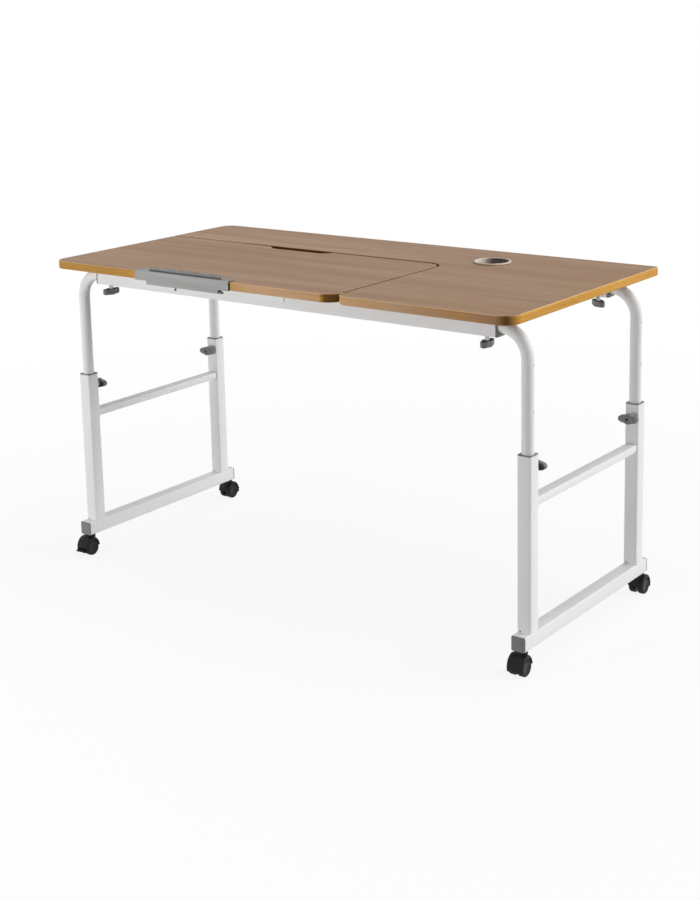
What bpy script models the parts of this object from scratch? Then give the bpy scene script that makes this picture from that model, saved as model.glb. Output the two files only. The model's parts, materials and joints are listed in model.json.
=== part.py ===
"""Mobile computer desk at rest, in metres, +Z up, the front towards -Y, the origin on the floor
under its middle. A split wooden top on two aprons, four bent tubes that slide in the aprons and in
two wheeled leg frames, and a front-left panel that tilts on a hinge and is held by a prop."""

import math

import bmesh
import bpy
from mathutils import Matrix, Vector

# Clearances
GAP = 0.0003
PLAY = 0.0003

# Top: the whole width, depth and height, and the seams of the tilting panel
TOP_LENGTH = 1.200
TOP_DEPTH = 0.600
TOP_HEIGHT = 0.710
BOARD = 0.018
TOP_CORNER = 0.030
REAR_RIGHT_CORNER = 0.006
SEAM = 0.0015
SEAM_X = 0.1978
SEAM_Y = 0.0985
SEAM_CORNER = 0.040
NOTCH_MIDDLE = -0.1976
NOTCH_WIDTH = 0.182
NOTCH_DEPTH = 0.020

# Cable and cup ring at the rear right
CUP_X = 0.2697
CUP_SETBACK = 0.130
CUP_HOLE = 0.0360
CUP_RIM = 0.0408
CUP_RISE = 0.0035

# Aprons, rectangular tube
APRON_WIDTH = 0.030
APRON_HEIGHT = 0.040
SHEET_WALL = 0.0012
SLEEVE_LENGTH = 0.045
APRON_LIP = 0.003

# Legs: centre lines, bent round tube, square tube
LEG_INSET = 0.0115
LEG_SETBACK = 0.080
TUBE = 0.025
TUBE_WALL = 0.0015
BEND = 0.058
ARM_INSIDE = 0.440
POST_INSIDE = 0.190
HOLE = 0.005
HOLE_DROP = 0.0662
HOLE_PITCH = 0.090
HOLE_TURN = 25.0
SQUARE = 0.030
SQUARE_ROUND = 0.002
UPRIGHT_TOP = 0.431
LEG_LIP = 0.0018
CROSSBAR_TOP = 0.345
CROSSBAR_WIDTH = 0.025
CROSSBAR_HEIGHT = 0.0165
FOOT_LENGTH = 0.515
FOOT_TOP = 0.079
CAP_LIP = 0.003
CAP_PLUG = 0.0065

# Knobs
KNOB_LENGTH = 0.044
KNOB_WIDTH = 0.017
KNOB_HUB = 0.022
KNOB_THICK = 0.013
KNOB_COLLAR = 0.0105
COLLAR_ROUND = 0.015
STEM = 0.006
APRON_KNOB_INSET = 0.027
LEG_KNOB_Z = 0.403

# Casters
CASTER_INSET = 0.013
WHEEL = 0.036
WHEEL_WIDTH = 0.0125
WHEEL_GAP = 0.008
TRAIL = 0.006
HOOD_PLAY = 0.001
HOOD_WALL = 0.002
HOOD_RISE = 0.0255
PIN = 0.008
AXLE = 0.006
BOSS = 0.026
BRAKE_WIDTH = 0.0146
BRAKE_TREAD = 0.010
BRAKE_REST = 10.0

# Panel hinge, prop and book stop
KNUCKLE = 0.007
HINGE_DROP = 0.008
HINGE_LENGTH = 0.440
HINGE_PIN = 0.003
LEAF = 0.0015
LEAF_DROP = 0.018
PROP_WIRE = 0.006
PROP_HALF = 0.140
BRACKET_HALF = 0.075
EYE_HALF = 0.055
RAIL_HALF = 0.120
RAIL_WIDTH = 0.020
RAIL_HEIGHT = 0.025
RACK_ANGLES = (15.0, 25.0, 35.0, 45.0)
STOP_MIDDLE = -0.2075
STOP_LENGTH = 0.2715
LIP_LENGTH = 0.204
LIP_RISE = 0.0095
LIP_BACK = 0.010
FLAP_DROP = 0.010
PLATE = 0.0015

# Places that follow from the sizes above
UNDER = TOP_HEIGHT - BOARD
FRONT = -TOP_DEPTH / 2 + PLATE + GAP
REAR = TOP_DEPTH / 2
LEG_X = TOP_LENGTH / 2 - LEG_INSET
LEG_Y = TOP_DEPTH / 2 - LEG_SETBACK
CUP_Y = REAR - CUP_SETBACK
APRON_TOP = UNDER - GAP
ARM_Z = APRON_TOP - APRON_HEIGHT / 2
HOLE_TOP = ARM_Z - HOLE_DROP
APRON_END = LEG_X - BEND - APRON_LIP - GAP - PLAY
HINGE_Y = -LEG_Y - APRON_WIDTH / 2 - KNUCKLE / 2 - 0.001
HINGE_Z = UNDER - HINGE_DROP
PANEL_MIDDLE = (SEAM_X - TOP_LENGTH / 2) / 2
PROP_ARM = (SEAM_Y - 0.0125 - HINGE_Y) / 2
RAIL_TOP = HINGE_Z - PROP_WIRE / 2 - GAP
FOOT_BOTTOM = FOOT_TOP - SQUARE
CASTER_Y = FOOT_LENGTH / 2 - CASTER_INSET
AXLE_Z = WHEEL / 2 - FOOT_BOTTOM

for item in list(bpy.data.objects):
    bpy.data.objects.remove(item, do_unlink=True)

DESK = bpy.data.collections.new("mobile_computer_desk")
SHAPING = bpy.data.collections.new("shaping_tools")
bpy.context.scene.collection.children.link(DESK)
bpy.context.scene.collection.children.link(SHAPING)


def principled(name, colour, roughness, metallic=0.0):
    """A Principled material in one colour."""
    material = bpy.data.materials.new(name)
    material.use_nodes = True
    shader = material.node_tree.nodes["Principled BSDF"]
    shader.inputs["Base Color"].default_value = (*colour, 1.0)
    shader.inputs["Roughness"].default_value = roughness
    shader.inputs["Metallic"].default_value = metallic
    material.diffuse_color = (*colour, 1.0)
    return material


WOOD = principled("oak_laminate", (0.36, 0.24, 0.165), 0.45)
WHITE = principled("white_powder_coat", (0.83, 0.83, 0.83), 0.40)
GREY = principled("grey_plastic", (0.16, 0.165, 0.165), 0.50)
BLACK = principled("black_plastic", (0.018, 0.018, 0.02), 0.40)
ZINC = principled("zinc_plated_steel", (0.45, 0.46, 0.46), 0.40, 0.6)
CREAM = principled("cream_plastic", (0.72, 0.66, 0.58), 0.35)


def empty(name, place, parent=None):
    """An empty that marks a joint's axis or a group."""
    mark = bpy.data.objects.new(name, None)
    mark.empty_display_size = 0.03
    DESK.objects.link(mark)
    settle(mark, place, parent)
    return mark


def settle(item, place, parent):
    """Puts an object at a place given in the desk's frame, under its parent."""
    item.location = Vector(place)
    if parent is not None:
        item.parent = parent
        bpy.context.view_layer.update()
        item.matrix_parent_inverse = parent.matrix_world.inverted()


def node(name, mesh, material, place=(0, 0, 0), turn=(0, 0, 0), parent=None):
    """One piece of the desk. Turn is in degrees."""
    item = bpy.data.objects.new(name, mesh)
    DESK.objects.link(item)
    if not mesh.materials:
        mesh.materials.append(material)
    item.material_slots[0].link = "OBJECT"
    item.material_slots[0].material = material
    item.rotation_euler = [math.radians(angle) for angle in turn]
    settle(item, place, parent)
    return item


def tool(name, mesh, place=(0, 0, 0), turn=(0, 0, 0)):
    """A hidden solid that cuts or joins another."""
    item = bpy.data.objects.new(name, mesh)
    SHAPING.objects.link(item)
    item.hide_render = True
    item.display_type = "WIRE"
    item.location = Vector(place)
    item.rotation_euler = [math.radians(angle) for angle in turn]
    return item


def boolean(item, other, operation):
    """Adds an exact Boolean with another solid."""
    change = item.modifiers.new(operation.lower(), "BOOLEAN")
    change.operation = operation
    change.solver = "EXACT"
    change.object = other


def cut(item, *others):
    for other in others:
        boolean(item, other, "DIFFERENCE")


def join(item, *others):
    for other in others:
        boolean(item, other, "UNION")


def meshed(item):
    """The object's shape with its modifiers, as a mesh of its own with loose points merged."""
    bpy.context.view_layer.update()
    seen = item.evaluated_get(bpy.context.evaluated_depsgraph_get())
    mesh = bpy.data.meshes.new_from_object(seen)
    mesh.name = item.name
    work = bmesh.new()
    work.from_mesh(mesh)
    bmesh.ops.remove_doubles(work, verts=work.verts, dist=1e-6)
    bmesh.ops.recalc_face_normals(work, faces=work.faces)
    work.to_mesh(mesh)
    work.free()
    return mesh


def block(name, low, high):
    """A box between two corners."""
    mesh = bpy.data.meshes.new(name)
    work = bmesh.new()
    bmesh.ops.create_cube(work, size=1.0)
    size = [b - a for a, b in zip(low, high)]
    middle = [(a + b) / 2 for a, b in zip(low, high)]
    bmesh.ops.scale(work, vec=size, verts=work.verts)
    bmesh.ops.translate(work, vec=middle, verts=work.verts)
    work.to_mesh(mesh)
    work.free()
    return mesh


def rod(name, width, low, high, sides=16, axis="Z"):
    """A cylinder along an axis, from low to high."""
    mesh = bpy.data.meshes.new(name)
    work = bmesh.new()
    bmesh.ops.create_cone(
        work, cap_ends=True, segments=sides, radius1=width / 2, radius2=width / 2, depth=high - low
    )
    bmesh.ops.translate(work, vec=(0, 0, (low + high) / 2), verts=work.verts)
    if axis != "Z":
        angle, about = (math.pi / 2, "Y") if axis == "X" else (-math.pi / 2, "X")
        spin = Matrix.Rotation(angle, 3, about)
        bmesh.ops.rotate(work, cent=(0, 0, 0), matrix=spin, verts=work.verts)
    work.to_mesh(mesh)
    work.free()
    return mesh


def outline(corners, steps=5):
    """Points of a closed outline whose corners (x, y, radius) are rounded."""
    points = []
    count = len(corners)
    for i, (x, y, radius) in enumerate(corners):
        here = Vector((x, y))
        if radius <= 0:
            points.append(here)
            continue
        back = (Vector(corners[i - 1][:2]) - here).normalized()
        ahead = (Vector(corners[(i + 1) % count][:2]) - here).normalized()
        half = back.angle(ahead) / 2
        centre = here + (back + ahead).normalized() * radius / math.sin(half)
        start = here + back * radius / math.tan(half) - centre
        end = here + ahead * radius / math.tan(half) - centre
        sweep = start.angle_signed(end)
        for k in range(steps + 1):
            spin = Matrix.Rotation(-sweep * k / steps, 2)
            points.append(centre + spin @ start)
    return points


def circle(x, y, radius, sides=28):
    angles = [math.tau * k / sides for k in range(sides)]
    return [Vector((x + radius * math.cos(a), y + radius * math.sin(a))) for a in angles]


def plate(name, loops, thickness):
    """A flat outline with holes, filled and extruded, its middle on z = 0."""
    data = bpy.data.curves.new(name, "CURVE")
    data.dimensions = "2D"
    data.fill_mode = "BOTH"
    data.extrude = thickness / 2
    for loop in loops:
        spline = data.splines.new("POLY")
        spline.points.add(len(loop) - 1)
        for point, place in zip(spline.points, loop):
            point.co = (place.x, place.y, 0.0, 1.0)
        spline.use_cyclic_u = True
    item = tool(name + "_outline", data)
    mesh = meshed(item)
    bpy.data.objects.remove(item)
    mesh.name = name
    return mesh


def part_faces(mesh, x):
    """Parts a plate's flat faces along a line across the desk and merges those to the left of it."""
    work = bmesh.new()
    work.from_mesh(mesh)
    pieces = [*work.verts, *work.edges, *work.faces]
    bmesh.ops.bisect_plane(work, geom=pieces, dist=1e-6, plane_co=(x, 0, 0), plane_no=(1, 0, 0))
    for up in (1, -1):
        left = [
            face
            for face in work.faces
            if face.normal.z * up > 0.9 and all(corner.co.x < x + 1e-5 for corner in face.verts)
        ]
        bmesh.ops.dissolve_faces(work, faces=left)
    work.to_mesh(mesh)
    work.free()


def wire(name, path, width, closed=False, resolution=6):
    """A round bar along a path, with filled ends."""
    data = bpy.data.curves.new(name, "CURVE")
    data.dimensions = "3D"
    data.fill_mode = "FULL"
    data.bevel_depth = width / 2
    data.bevel_resolution = resolution
    data.use_fill_caps = not closed
    spline = data.splines.new("POLY")
    spline.points.add(len(path) - 1)
    for point, place in zip(spline.points, path):
        point.co = (*place, 1.0)
    spline.use_cyclic_u = closed
    item = tool(name + "_path", data)
    mesh = meshed(item)
    bpy.data.objects.remove(item)
    mesh.name = name
    return mesh


def turned(name, profile, steps):
    """A closed profile (radius, height) turned round the Z axis."""
    mesh = bpy.data.meshes.new(name)
    work = bmesh.new()
    points = [work.verts.new((radius, 0.0, height)) for radius, height in profile]
    for a, b in zip(points, points[1:] + points[:1]):
        if a.co.x > 1e-6 or b.co.x > 1e-6:
            work.edges.new((a, b))
    work.to_mesh(mesh)
    work.free()
    item = tool(name + "_profile", mesh)
    screw = item.modifiers.new("screw", "SCREW")
    screw.axis = "Z"
    screw.steps = steps
    screw.render_steps = steps
    screw.use_merge_vertices = True
    screw.merge_threshold = 1e-5
    screw.use_normal_calculate = True
    result = meshed(item)
    bpy.data.objects.remove(item)
    result.name = name
    return result


def rectangle(width, height, radius=0.0):
    a, b = width / 2, height / 2
    return outline([(-a, -b, radius), (a, -b, radius), (a, b, radius), (-a, b, radius)], 2)


def square_tube(name, width, height, length, wall=SHEET_WALL):
    """A rectangular tube along Z, open at both ends."""
    inner = rectangle(width - 2 * wall, height - 2 * wall)
    return plate(name, [rectangle(width, height, SQUARE_ROUND), inner], length)


def bar(name, profile, length, middle):
    """A profile given in (y, z), extruded along X round a middle."""
    mesh = plate(name, [[Vector(p) for p in profile]], length)
    mesh.transform(Matrix(((0, 0, 1, middle), (1, 0, 0, 0), (0, 1, 0, 0), (0, 0, 0, 1))))
    return mesh


# Empties on the axes that pieces move along or about
SIDES = ((-1, "left"), (1, "right"))
ENDS = ((-1, "front"), (1, "rear"))
ROOT = empty("desk", (0, 0, 0))
SLIDES = {}
LIFTS = {}
for side, word in SIDES:
    SLIDES[side] = empty(word + "_width_slide", (side * LEG_X, 0, ARM_Z), ROOT)
    LIFTS[side] = empty(word + "_height_slide", (side * LEG_X, 0, UPRIGHT_TOP), SLIDES[side])
TILT = empty("panel_tilt", (PANEL_MIDDLE, HINGE_Y, HINGE_Z), ROOT)
CORNERS = [(f"{end_word}_{word}", side, end) for end, end_word in ENDS for side, word in SIDES]

# Fixed part of the top: a rear strip and the right end in one board
panel_right = SEAM_X - SEAM / 2
panel_rear = SEAM_Y - SEAM / 2
board_left = SEAM_X + SEAM / 2
strip_front = SEAM_Y + SEAM / 2
cup_bore = (CUP_HOLE + CUP_RIM) / 2 - 0.0005
edge = [
    (board_left, FRONT, 0.013),
    (TOP_LENGTH / 2, FRONT, TOP_CORNER),
    (TOP_LENGTH / 2, REAR, REAR_RIGHT_CORNER),
    (-TOP_LENGTH / 2, REAR, TOP_CORNER),
    (-TOP_LENGTH / 2, strip_front, 0.003),
    (board_left, strip_front, SEAM_CORNER + SEAM),
]
mesh = plate("fixed_top", [outline(edge, 7), circle(CUP_X, CUP_Y, cup_bore)], BOARD)
# The rear strip's faces end where the seam's corner starts, clear of the cup ring.
part_faces(mesh, SEAM_X - SEAM_CORNER)
node("fixed_top", mesh, WOOD, (0, 0, UNDER + BOARD / 2), parent=ROOT)

# Cup ring: a turned rim on the board with a skirt down through it
profile = [
    (CUP_HOLE, UNDER + GAP),
    (cup_bore - GAP, UNDER + GAP),
    (cup_bore - GAP, TOP_HEIGHT + GAP),
    (CUP_RIM, TOP_HEIGHT + GAP),
    (CUP_RIM - 0.0005, TOP_HEIGHT + 0.6 * CUP_RISE),
    (CUP_RIM - 0.0025, TOP_HEIGHT + CUP_RISE),
    (CUP_HOLE + 0.0015, TOP_HEIGHT + CUP_RISE),
    (CUP_HOLE, TOP_HEIGHT + 0.5 * CUP_RISE),
]
node("cup_ring", turned("cup_ring", profile, 28), CREAM, (CUP_X, CUP_Y, 0), parent=ROOT)

# Tilting panel: a finger notch in its rear edge and a slot for the book stop in its front edge
slot_half = LIP_LENGTH / 2 + 0.003
slot_back = FRONT + LIP_BACK + PLATE + 0.004
notch_left = NOTCH_MIDDLE - NOTCH_WIDTH / 2
notch_right = NOTCH_MIDDLE + NOTCH_WIDTH / 2
edge = [
    (-TOP_LENGTH / 2, FRONT, TOP_CORNER),
    (STOP_MIDDLE - slot_half, FRONT, 0),
    (STOP_MIDDLE - slot_half, slot_back, 0),
    (STOP_MIDDLE + slot_half, slot_back, 0),
    (STOP_MIDDLE + slot_half, FRONT, 0),
    (panel_right, FRONT, TOP_CORNER),
    (panel_right, panel_rear, SEAM_CORNER),
    (notch_right, panel_rear, 0.004),
    (notch_right - 0.016, panel_rear - NOTCH_DEPTH, 0.008),
    (notch_left + 0.024, panel_rear - NOTCH_DEPTH, 0.008),
    (notch_left, panel_rear, 0.004),
    (-TOP_LENGTH / 2, panel_rear, 0.005),
]
mesh = plate("tilt_panel", [outline(edge, 6)], BOARD)
mesh.transform(Matrix.Translation((-PANEL_MIDDLE, -HINGE_Y, UNDER + BOARD / 2 - HINGE_Z)))
node("tilt_panel", mesh, WOOD, (PANEL_MIDDLE, HINGE_Y, HINGE_Z), parent=TILT)

# Aprons: one rectangular tube under the front and one under the rear, bored for the knob stems
APRONS = {}
for end, word in ENDS:
    mesh = square_tube(word + "_apron", APRON_HEIGHT, APRON_WIDTH, 2 * APRON_END)
    APRONS[end] = node(word + "_apron", mesh, WHITE, (0, end * LEG_Y, ARM_Z), (0, 90, 0), ROOT)


def sleeve(name, width, height, lip):
    """A plug with a lip and a bore, its lip's inner face on z = 0 and the plug below."""
    less = 2 * SHEET_WALL + 2 * GAP
    plug = plate(name, [rectangle(width - less, height - less)], SLEEVE_LENGTH + lip / 2)
    plug.transform(Matrix.Translation((0, 0, lip / 4 - SLEEVE_LENGTH / 2)))
    cover = plate(name + "_lip", [rectangle(width, height, SQUARE_ROUND)], lip)
    cover.transform(Matrix.Translation((0, 0, lip / 2)))
    item = tool(name, cover)
    join(item, tool(name + "_plug", plug))
    bore = rod(name + "_bore", TUBE + 3 * PLAY, -SLEEVE_LENGTH - 0.01, lip + 0.01, 20)
    cut(item, tool(name + "_bore", bore))
    return meshed(item)


APRON_SLEEVE = sleeve("apron_sleeve", APRON_HEIGHT, APRON_WIDTH, APRON_LIP)
LEG_SLEEVE = sleeve("leg_sleeve", SQUARE, SQUARE, LEG_LIP)


def knob(name, stem):
    """A two-winged clamping knob along +Z, its seat on z = 0 and its threaded stem below."""
    points = []
    for k in range(24):
        angle = math.tau * k / 24
        along = (abs(math.cos(angle)) / (KNOB_LENGTH / 2)) ** 2.8
        across = (abs(math.sin(angle)) / (KNOB_WIDTH / 2)) ** 2.8
        radius = max((along + across) ** (-1 / 2.8), KNOB_HUB / 2)
        points.append(Vector((radius * math.cos(angle), radius * math.sin(angle))))
    body = plate(name, [points], KNOB_THICK)
    body.transform(Matrix.Translation((0, 0, KNOB_COLLAR + KNOB_THICK / 2)))
    item = tool(name, body)
    rounding = item.modifiers.new("rounding", "BEVEL")
    rounding.width = 0.0018
    rounding.segments = 1
    rounding.angle_limit = math.radians(50)
    collar = rod(name + "_collar", COLLAR_ROUND, GAP, KNOB_COLLAR + 0.002, 12)
    join(item, tool(name + "_collar", collar))
    thread = rod(name + "_stem", STEM, -stem, KNOB_COLLAR, 8)
    join(item, tool(name + "_stem", thread))
    top = KNOB_COLLAR + KNOB_THICK
    cut(item, tool(name + "_eye", rod(name + "_eye", 0.007, top - 0.004, top + 0.01, 10)))
    return meshed(item)


# Stems stop half a millimetre short of the tubes that they clamp
APRON_KNOB = knob("apron_knob", (APRON_HEIGHT - TUBE) / 2 - 0.0005)
LEG_KNOB = knob("leg_knob", (SQUARE - TUBE) / 2 - 0.0005)
KNOB_TURNS = {"front_left": 12, "front_right": 80, "rear_left": 25, "rear_right": -35}


def tube_path(side, spare):
    """A bent tube's centre line, from inside the apron down into the leg, longer at its ends by spare."""
    turn_x = side * (LEG_X - BEND)
    turn_z = ARM_Z - BEND
    path = [(turn_x - side * (ARM_INSIDE + spare), 0, ARM_Z)]
    for k in range(9):
        angle = math.pi / 2 * k / 8
        path.append((turn_x + side * BEND * math.sin(angle), 0, turn_z + BEND * math.cos(angle)))
    path.append((side * LEG_X, 0, UPRIGHT_TOP - POST_INSIDE - spare))
    return path


# Bent tubes: hollow, with index holes down the outer side, turned a little towards the front
for side, word in SIDES:
    item = tool(word + "_bent_tube", wire(word + "_bent_tube", tube_path(side, 0), TUBE))
    core = wire(word + "_tube_bore", tube_path(side, 0.01), TUBE - 2 * TUBE_WALL, resolution=2)
    cut(item, tool(word + "_tube_bore", core))
    for k in range(2):
        drill = rod(word + "_hole", HOLE, 0, TUBE, 8, "X")
        place = (side * LEG_X, 0, HOLE_TOP - k * HOLE_PITCH)
        turn = (0, 0, -HOLE_TURN if side > 0 else 180 + HOLE_TURN)
        cut(item, tool(f"{word}_hole_{k}", drill, place, turn))
    mesh = meshed(item)
    mesh.transform(Matrix.Translation((-side * LEG_X, 0, -ARM_Z)))
    for end, end_word in ENDS:
        name = f"{end_word}_{word}_bent_tube"
        node(name, mesh.copy(), WHITE, (side * LEG_X, end * LEG_Y, ARM_Z), parent=SLIDES[side])

# Sleeves, knobs, uprights and foot caps at the four corners
for corner, side, end in CORNERS:
    x = side * LEG_X
    y = end * LEG_Y
    lift = LIFTS[side]
    knob_x = side * (APRON_END - APRON_KNOB_INSET)
    seat = (knob_x, y, APRON_TOP - APRON_HEIGHT)
    drill = tool(corner + "_apron_drill", rod("apron_drill", STEM + 0.001, -0.004, 0.012, 10), seat)
    cut(APRONS[end], drill)
    place = (side * (APRON_END + GAP), y, ARM_Z)
    item = node(corner + "_apron_sleeve", APRON_SLEEVE.copy(), GREY, place, (0, 90 * side, 0), ROOT)
    cut(item, drill)
    turn = (180, 0, KNOB_TURNS[corner])
    node(corner + "_apron_knob", APRON_KNOB.copy(), GREY, seat, turn, ROOT)

    low = FOOT_TOP + GAP
    mesh = square_tube(corner + "_upright", SQUARE, SQUARE, UPRIGHT_TOP - low)
    item = node(corner + "_upright", mesh, WHITE, (x, y, (UPRIGHT_TOP + low) / 2), parent=lift)
    seat = (x, end * (LEG_Y - SQUARE / 2), LEG_KNOB_Z)
    turn = (90 * end, 0, 0)
    drill = tool(corner + "_leg_drill", rod("leg_drill", STEM + 0.001, -0.008, 0.006, 10), seat, turn)
    cut(item, drill)
    place = (x, y, UPRIGHT_TOP + GAP)
    item = node(corner + "_leg_sleeve", LEG_SLEEVE.copy(), GREY, place, parent=lift)
    cut(item, drill)
    node(corner + "_leg_knob", LEG_KNOB.copy(), GREY, seat, turn, lift)

    cover = plate(corner + "_foot_cap", [rectangle(SQUARE, SQUARE, SQUARE_ROUND)], CAP_LIP)
    item = tool(corner + "_cap_cover", cover)
    half = SQUARE / 2 - SHEET_WALL - GAP
    plug = block(corner + "_cap_plug", (-half, -half, -CAP_PLUG), (half, half, 0))
    join(item, tool(corner + "_cap_plug", plug))
    place = (x, end * (FOOT_LENGTH / 2 - CAP_LIP / 2), FOOT_TOP - SQUARE / 2)
    node(corner + "_foot_cap", meshed(item), GREY, place, (-90 * end, 0, 0), lift)

# Foot rails, bored for the caster pins, and crossbars
for side, word in SIDES:
    x = side * LEG_X
    mesh = square_tube(word + "_foot_rail", SQUARE, SQUARE, FOOT_LENGTH - 2 * CAP_LIP - 2 * GAP)
    place = (x, 0, FOOT_TOP - SQUARE / 2)
    item = node(word + "_foot_rail", mesh, WHITE, place, (90, 0, 0), LIFTS[side])
    for end, end_word in ENDS:
        drill = rod("caster_drill", PIN + 3 * PLAY, -0.004, 0.006, 14)
        place = (x, end * CASTER_Y, FOOT_BOTTOM)
        cut(item, tool(f"{end_word}_{word}_caster_drill", drill, place))
    span = 2 * (LEG_Y - SQUARE / 2 - GAP)
    mesh = square_tube(word + "_crossbar", CROSSBAR_WIDTH, CROSSBAR_HEIGHT, span)
    place = (x, 0, CROSSBAR_TOP - CROSSBAR_HEIGHT / 2)
    node(word + "_crossbar", mesh, WHITE, place, (90, 0, 0), LIFTS[side])


ARCH = WHEEL / 2 + HOOD_PLAY + HOOD_WALL
BRAKE_PIVOT = Vector((0, -TRAIL - ARCH - 0.0035, AXLE_Z - 0.003))


def hood(name, braked):
    """A caster body with its seat on z = 0: an arch that is lower in front, web, boss, pin and axle."""
    width = WHEEL_GAP + 2 * WHEEL_WIDTH + 0.002
    angles = [math.radians(5 + 15 * k) for k in range(14)]
    arch = [(ARCH * math.cos(a), max(ARCH * math.sin(a), HOOD_RISE * math.sin(a))) for a in angles]
    mesh = bar(name, arch, width, 0.0)
    mesh.transform(Matrix.Translation((0, -TRAIL, AXLE_Z)))
    item = tool(name, mesh)
    rounding = item.modifiers.new("rounding", "BEVEL")
    rounding.width = 0.0012
    rounding.segments = 1
    rounding.angle_limit = math.radians(60)
    join(item, tool(name + "_boss", rod(name + "_boss", BOSS, AXLE_Z + 0.004, -GAP, 18)))
    join(item, tool(name + "_pin", rod(name + "_pin", PIN, -0.004, 0.7 * SQUARE, 10)))
    for side, word in SIDES:
        if braked:
            middle = side * (BRAKE_WIDTH / 2 + PLAY + 0.0015)
            ear = block(name + "_ear", (-0.0015, -0.003, -0.004), (0.0015, 0.0055, 0.004))
            join(item, tool(f"{name}_{word}_ear", ear, BRAKE_PIVOT + Vector((middle, 0, 0))))
        room = rod(name + "_room", WHEEL + 2 * HOOD_PLAY, WHEEL_GAP / 2 - 0.0004, width, 24, "X")
        turn = (0, 0, 0 if side > 0 else 180)
        cut(item, tool(f"{name}_{word}_room", room, (0, -TRAIL, AXLE_Z), turn))
    reach = WHEEL_GAP / 2 + WHEEL_WIDTH - 0.0025
    axle = rod(name + "_axle", AXLE, -reach, reach, 10, "X")
    join(item, tool(name + "_axle", axle, (0, -TRAIL, AXLE_Z)))
    if braked:
        pivot = rod(name + "_pivot", 0.003 + 2 * PLAY, -0.03, 0.03, 10, "X")
        cut(item, tool(name + "_pivot", pivot, BRAKE_PIVOT))
    return meshed(item)


def pedal(name):
    """A brake pedal round the X axis, its tread towards -Y."""
    half = BRAKE_WIDTH / 2
    item = tool(name, rod(name, 0.0052, -half, half, 12, "X"))
    trunnion = rod(name + "_trunnion", 0.003, -half - 0.0028, half + 0.0028, 8, "X")
    join(item, tool(name + "_trunnion", trunnion))
    foot = block(name + "_tread", (-half, -BRAKE_TREAD, -0.0012), (half, -0.001, 0.0016))
    join(item, tool(name + "_tread", foot))
    return meshed(item)


# Wheels: blind bores for the axle ends, a dished outer face
tread = WHEEL / 2
profile = [
    (AXLE / 2 + 0.0004, 0),
    (tread - 0.0015, 0),
    (tread, 0.0015),
    (tread, WHEEL_WIDTH - 0.0020),
    (tread - 0.0020, WHEEL_WIDTH),
    (tread * 0.62, WHEEL_WIDTH),
    (tread * 0.55, WHEEL_WIDTH - 0.0009),
    (0, WHEEL_WIDTH - 0.0009),
    (0, WHEEL_WIDTH - 0.0021),
    (AXLE / 2 + 0.0004, WHEEL_WIDTH - 0.0021),
]
WHEEL_MESH = turned("wheel", profile, 18)

# Casters: hood, two wheels and, on the left, a brake pedal, all trailing outwards
HOODS = {-1: hood("braked_hood", True), 1: hood("plain_hood", False)}
PEDAL = pedal("brake_pedal")
for corner, side, end in CORNERS:
    place = Vector((side * LEG_X, end * CASTER_Y, FOOT_BOTTOM))
    swivel = 180 if end > 0 else 0
    spin = Matrix.Rotation(math.radians(swivel), 3, "Z")
    body = node(corner + "_caster_hood", HOODS[side].copy(), BLACK, place, (0, 0, swivel), LIFTS[side])
    for half, word in ((-side, "inner"), (side, "outer")):
        axle = place + Vector((half * WHEEL_GAP / 2, end * TRAIL, AXLE_Z))
        node(f"{corner}_{word}_wheel", WHEEL_MESH.copy(), BLACK, axle, (0, 90 * half, 0), body)
    if side < 0:
        pivot = place + spin @ BRAKE_PIVOT
        node(corner + "_brake_pedal", PEDAL.copy(), BLACK, pivot, (-BRAKE_REST, 0, swivel), body)

# Panel hinge: knuckles of the two leaves take turns along one pin
hinge_left = PANEL_MIDDLE - HINGE_LENGTH / 2
hinge_right = PANEL_MIDDLE + HINGE_LENGTH / 2
knuckle_length = HINGE_LENGTH / 5
back = -LEG_Y - APRON_WIDTH / 2 - GAP
low = (hinge_left, back - LEAF, HINGE_Z - LEAF_DROP)
high = (hinge_right, back, HINGE_Z - KNUCKLE / 2 - 0.001)
FIXED_LEAF = node("hinge_fixed_leaf", block("hinge_fixed_leaf", low, high), WHITE, parent=ROOT)
hinge = (PANEL_MIDDLE, HINGE_Y, HINGE_Z)
low = (-HINGE_LENGTH / 2, -0.030, HINGE_DROP - GAP - LEAF)
high = (HINGE_LENGTH / 2, LEAF - KNUCKLE / 2, HINGE_DROP - GAP)
PANEL_LEAF = node("hinge_panel_leaf", block("hinge_panel_leaf", low, high), ZINC, hinge, parent=TILT)
for k in range(5):
    start = hinge_left + k * knuckle_length + PLAY
    stop = start + knuckle_length - 2 * PLAY
    barrel = rod(f"knuckle_{k}", KNUCKLE, start, stop, 12, "X")
    barrel = tool(f"knuckle_{k}", barrel, (0, HINGE_Y, HINGE_Z))
    if k % 2 == 0:
        low = (start, back - LEAF, HINGE_Z - KNUCKLE / 2 - 0.004)
        high = (stop, back, HINGE_Z)
        join(FIXED_LEAF, tool(f"web_{k}", block(f"web_{k}", low, high)), barrel)
    else:
        low = (start, HINGE_Y - KNUCKLE / 2, HINGE_Z)
        high = (stop, HINGE_Y - KNUCKLE / 2 + LEAF, HINGE_Z + HINGE_DROP - GAP - LEAF / 2)
        join(PANEL_LEAF, tool(f"web_{k}", block(f"web_{k}", low, high)), barrel)
bore = rod("hinge_bore", HINGE_PIN + 2 * PLAY, -HINGE_LENGTH, HINGE_LENGTH, 10, "X")
bore = tool("hinge_bore", bore, hinge)
cut(FIXED_LEAF, bore)
cut(PANEL_LEAF, bore)
pin = rod("hinge_pin", HINGE_PIN, -HINGE_LENGTH / 2 - 0.001, HINGE_LENGTH / 2 + 0.001, 10, "X")
node("hinge_pin", pin, ZINC, hinge, parent=ROOT)

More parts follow.
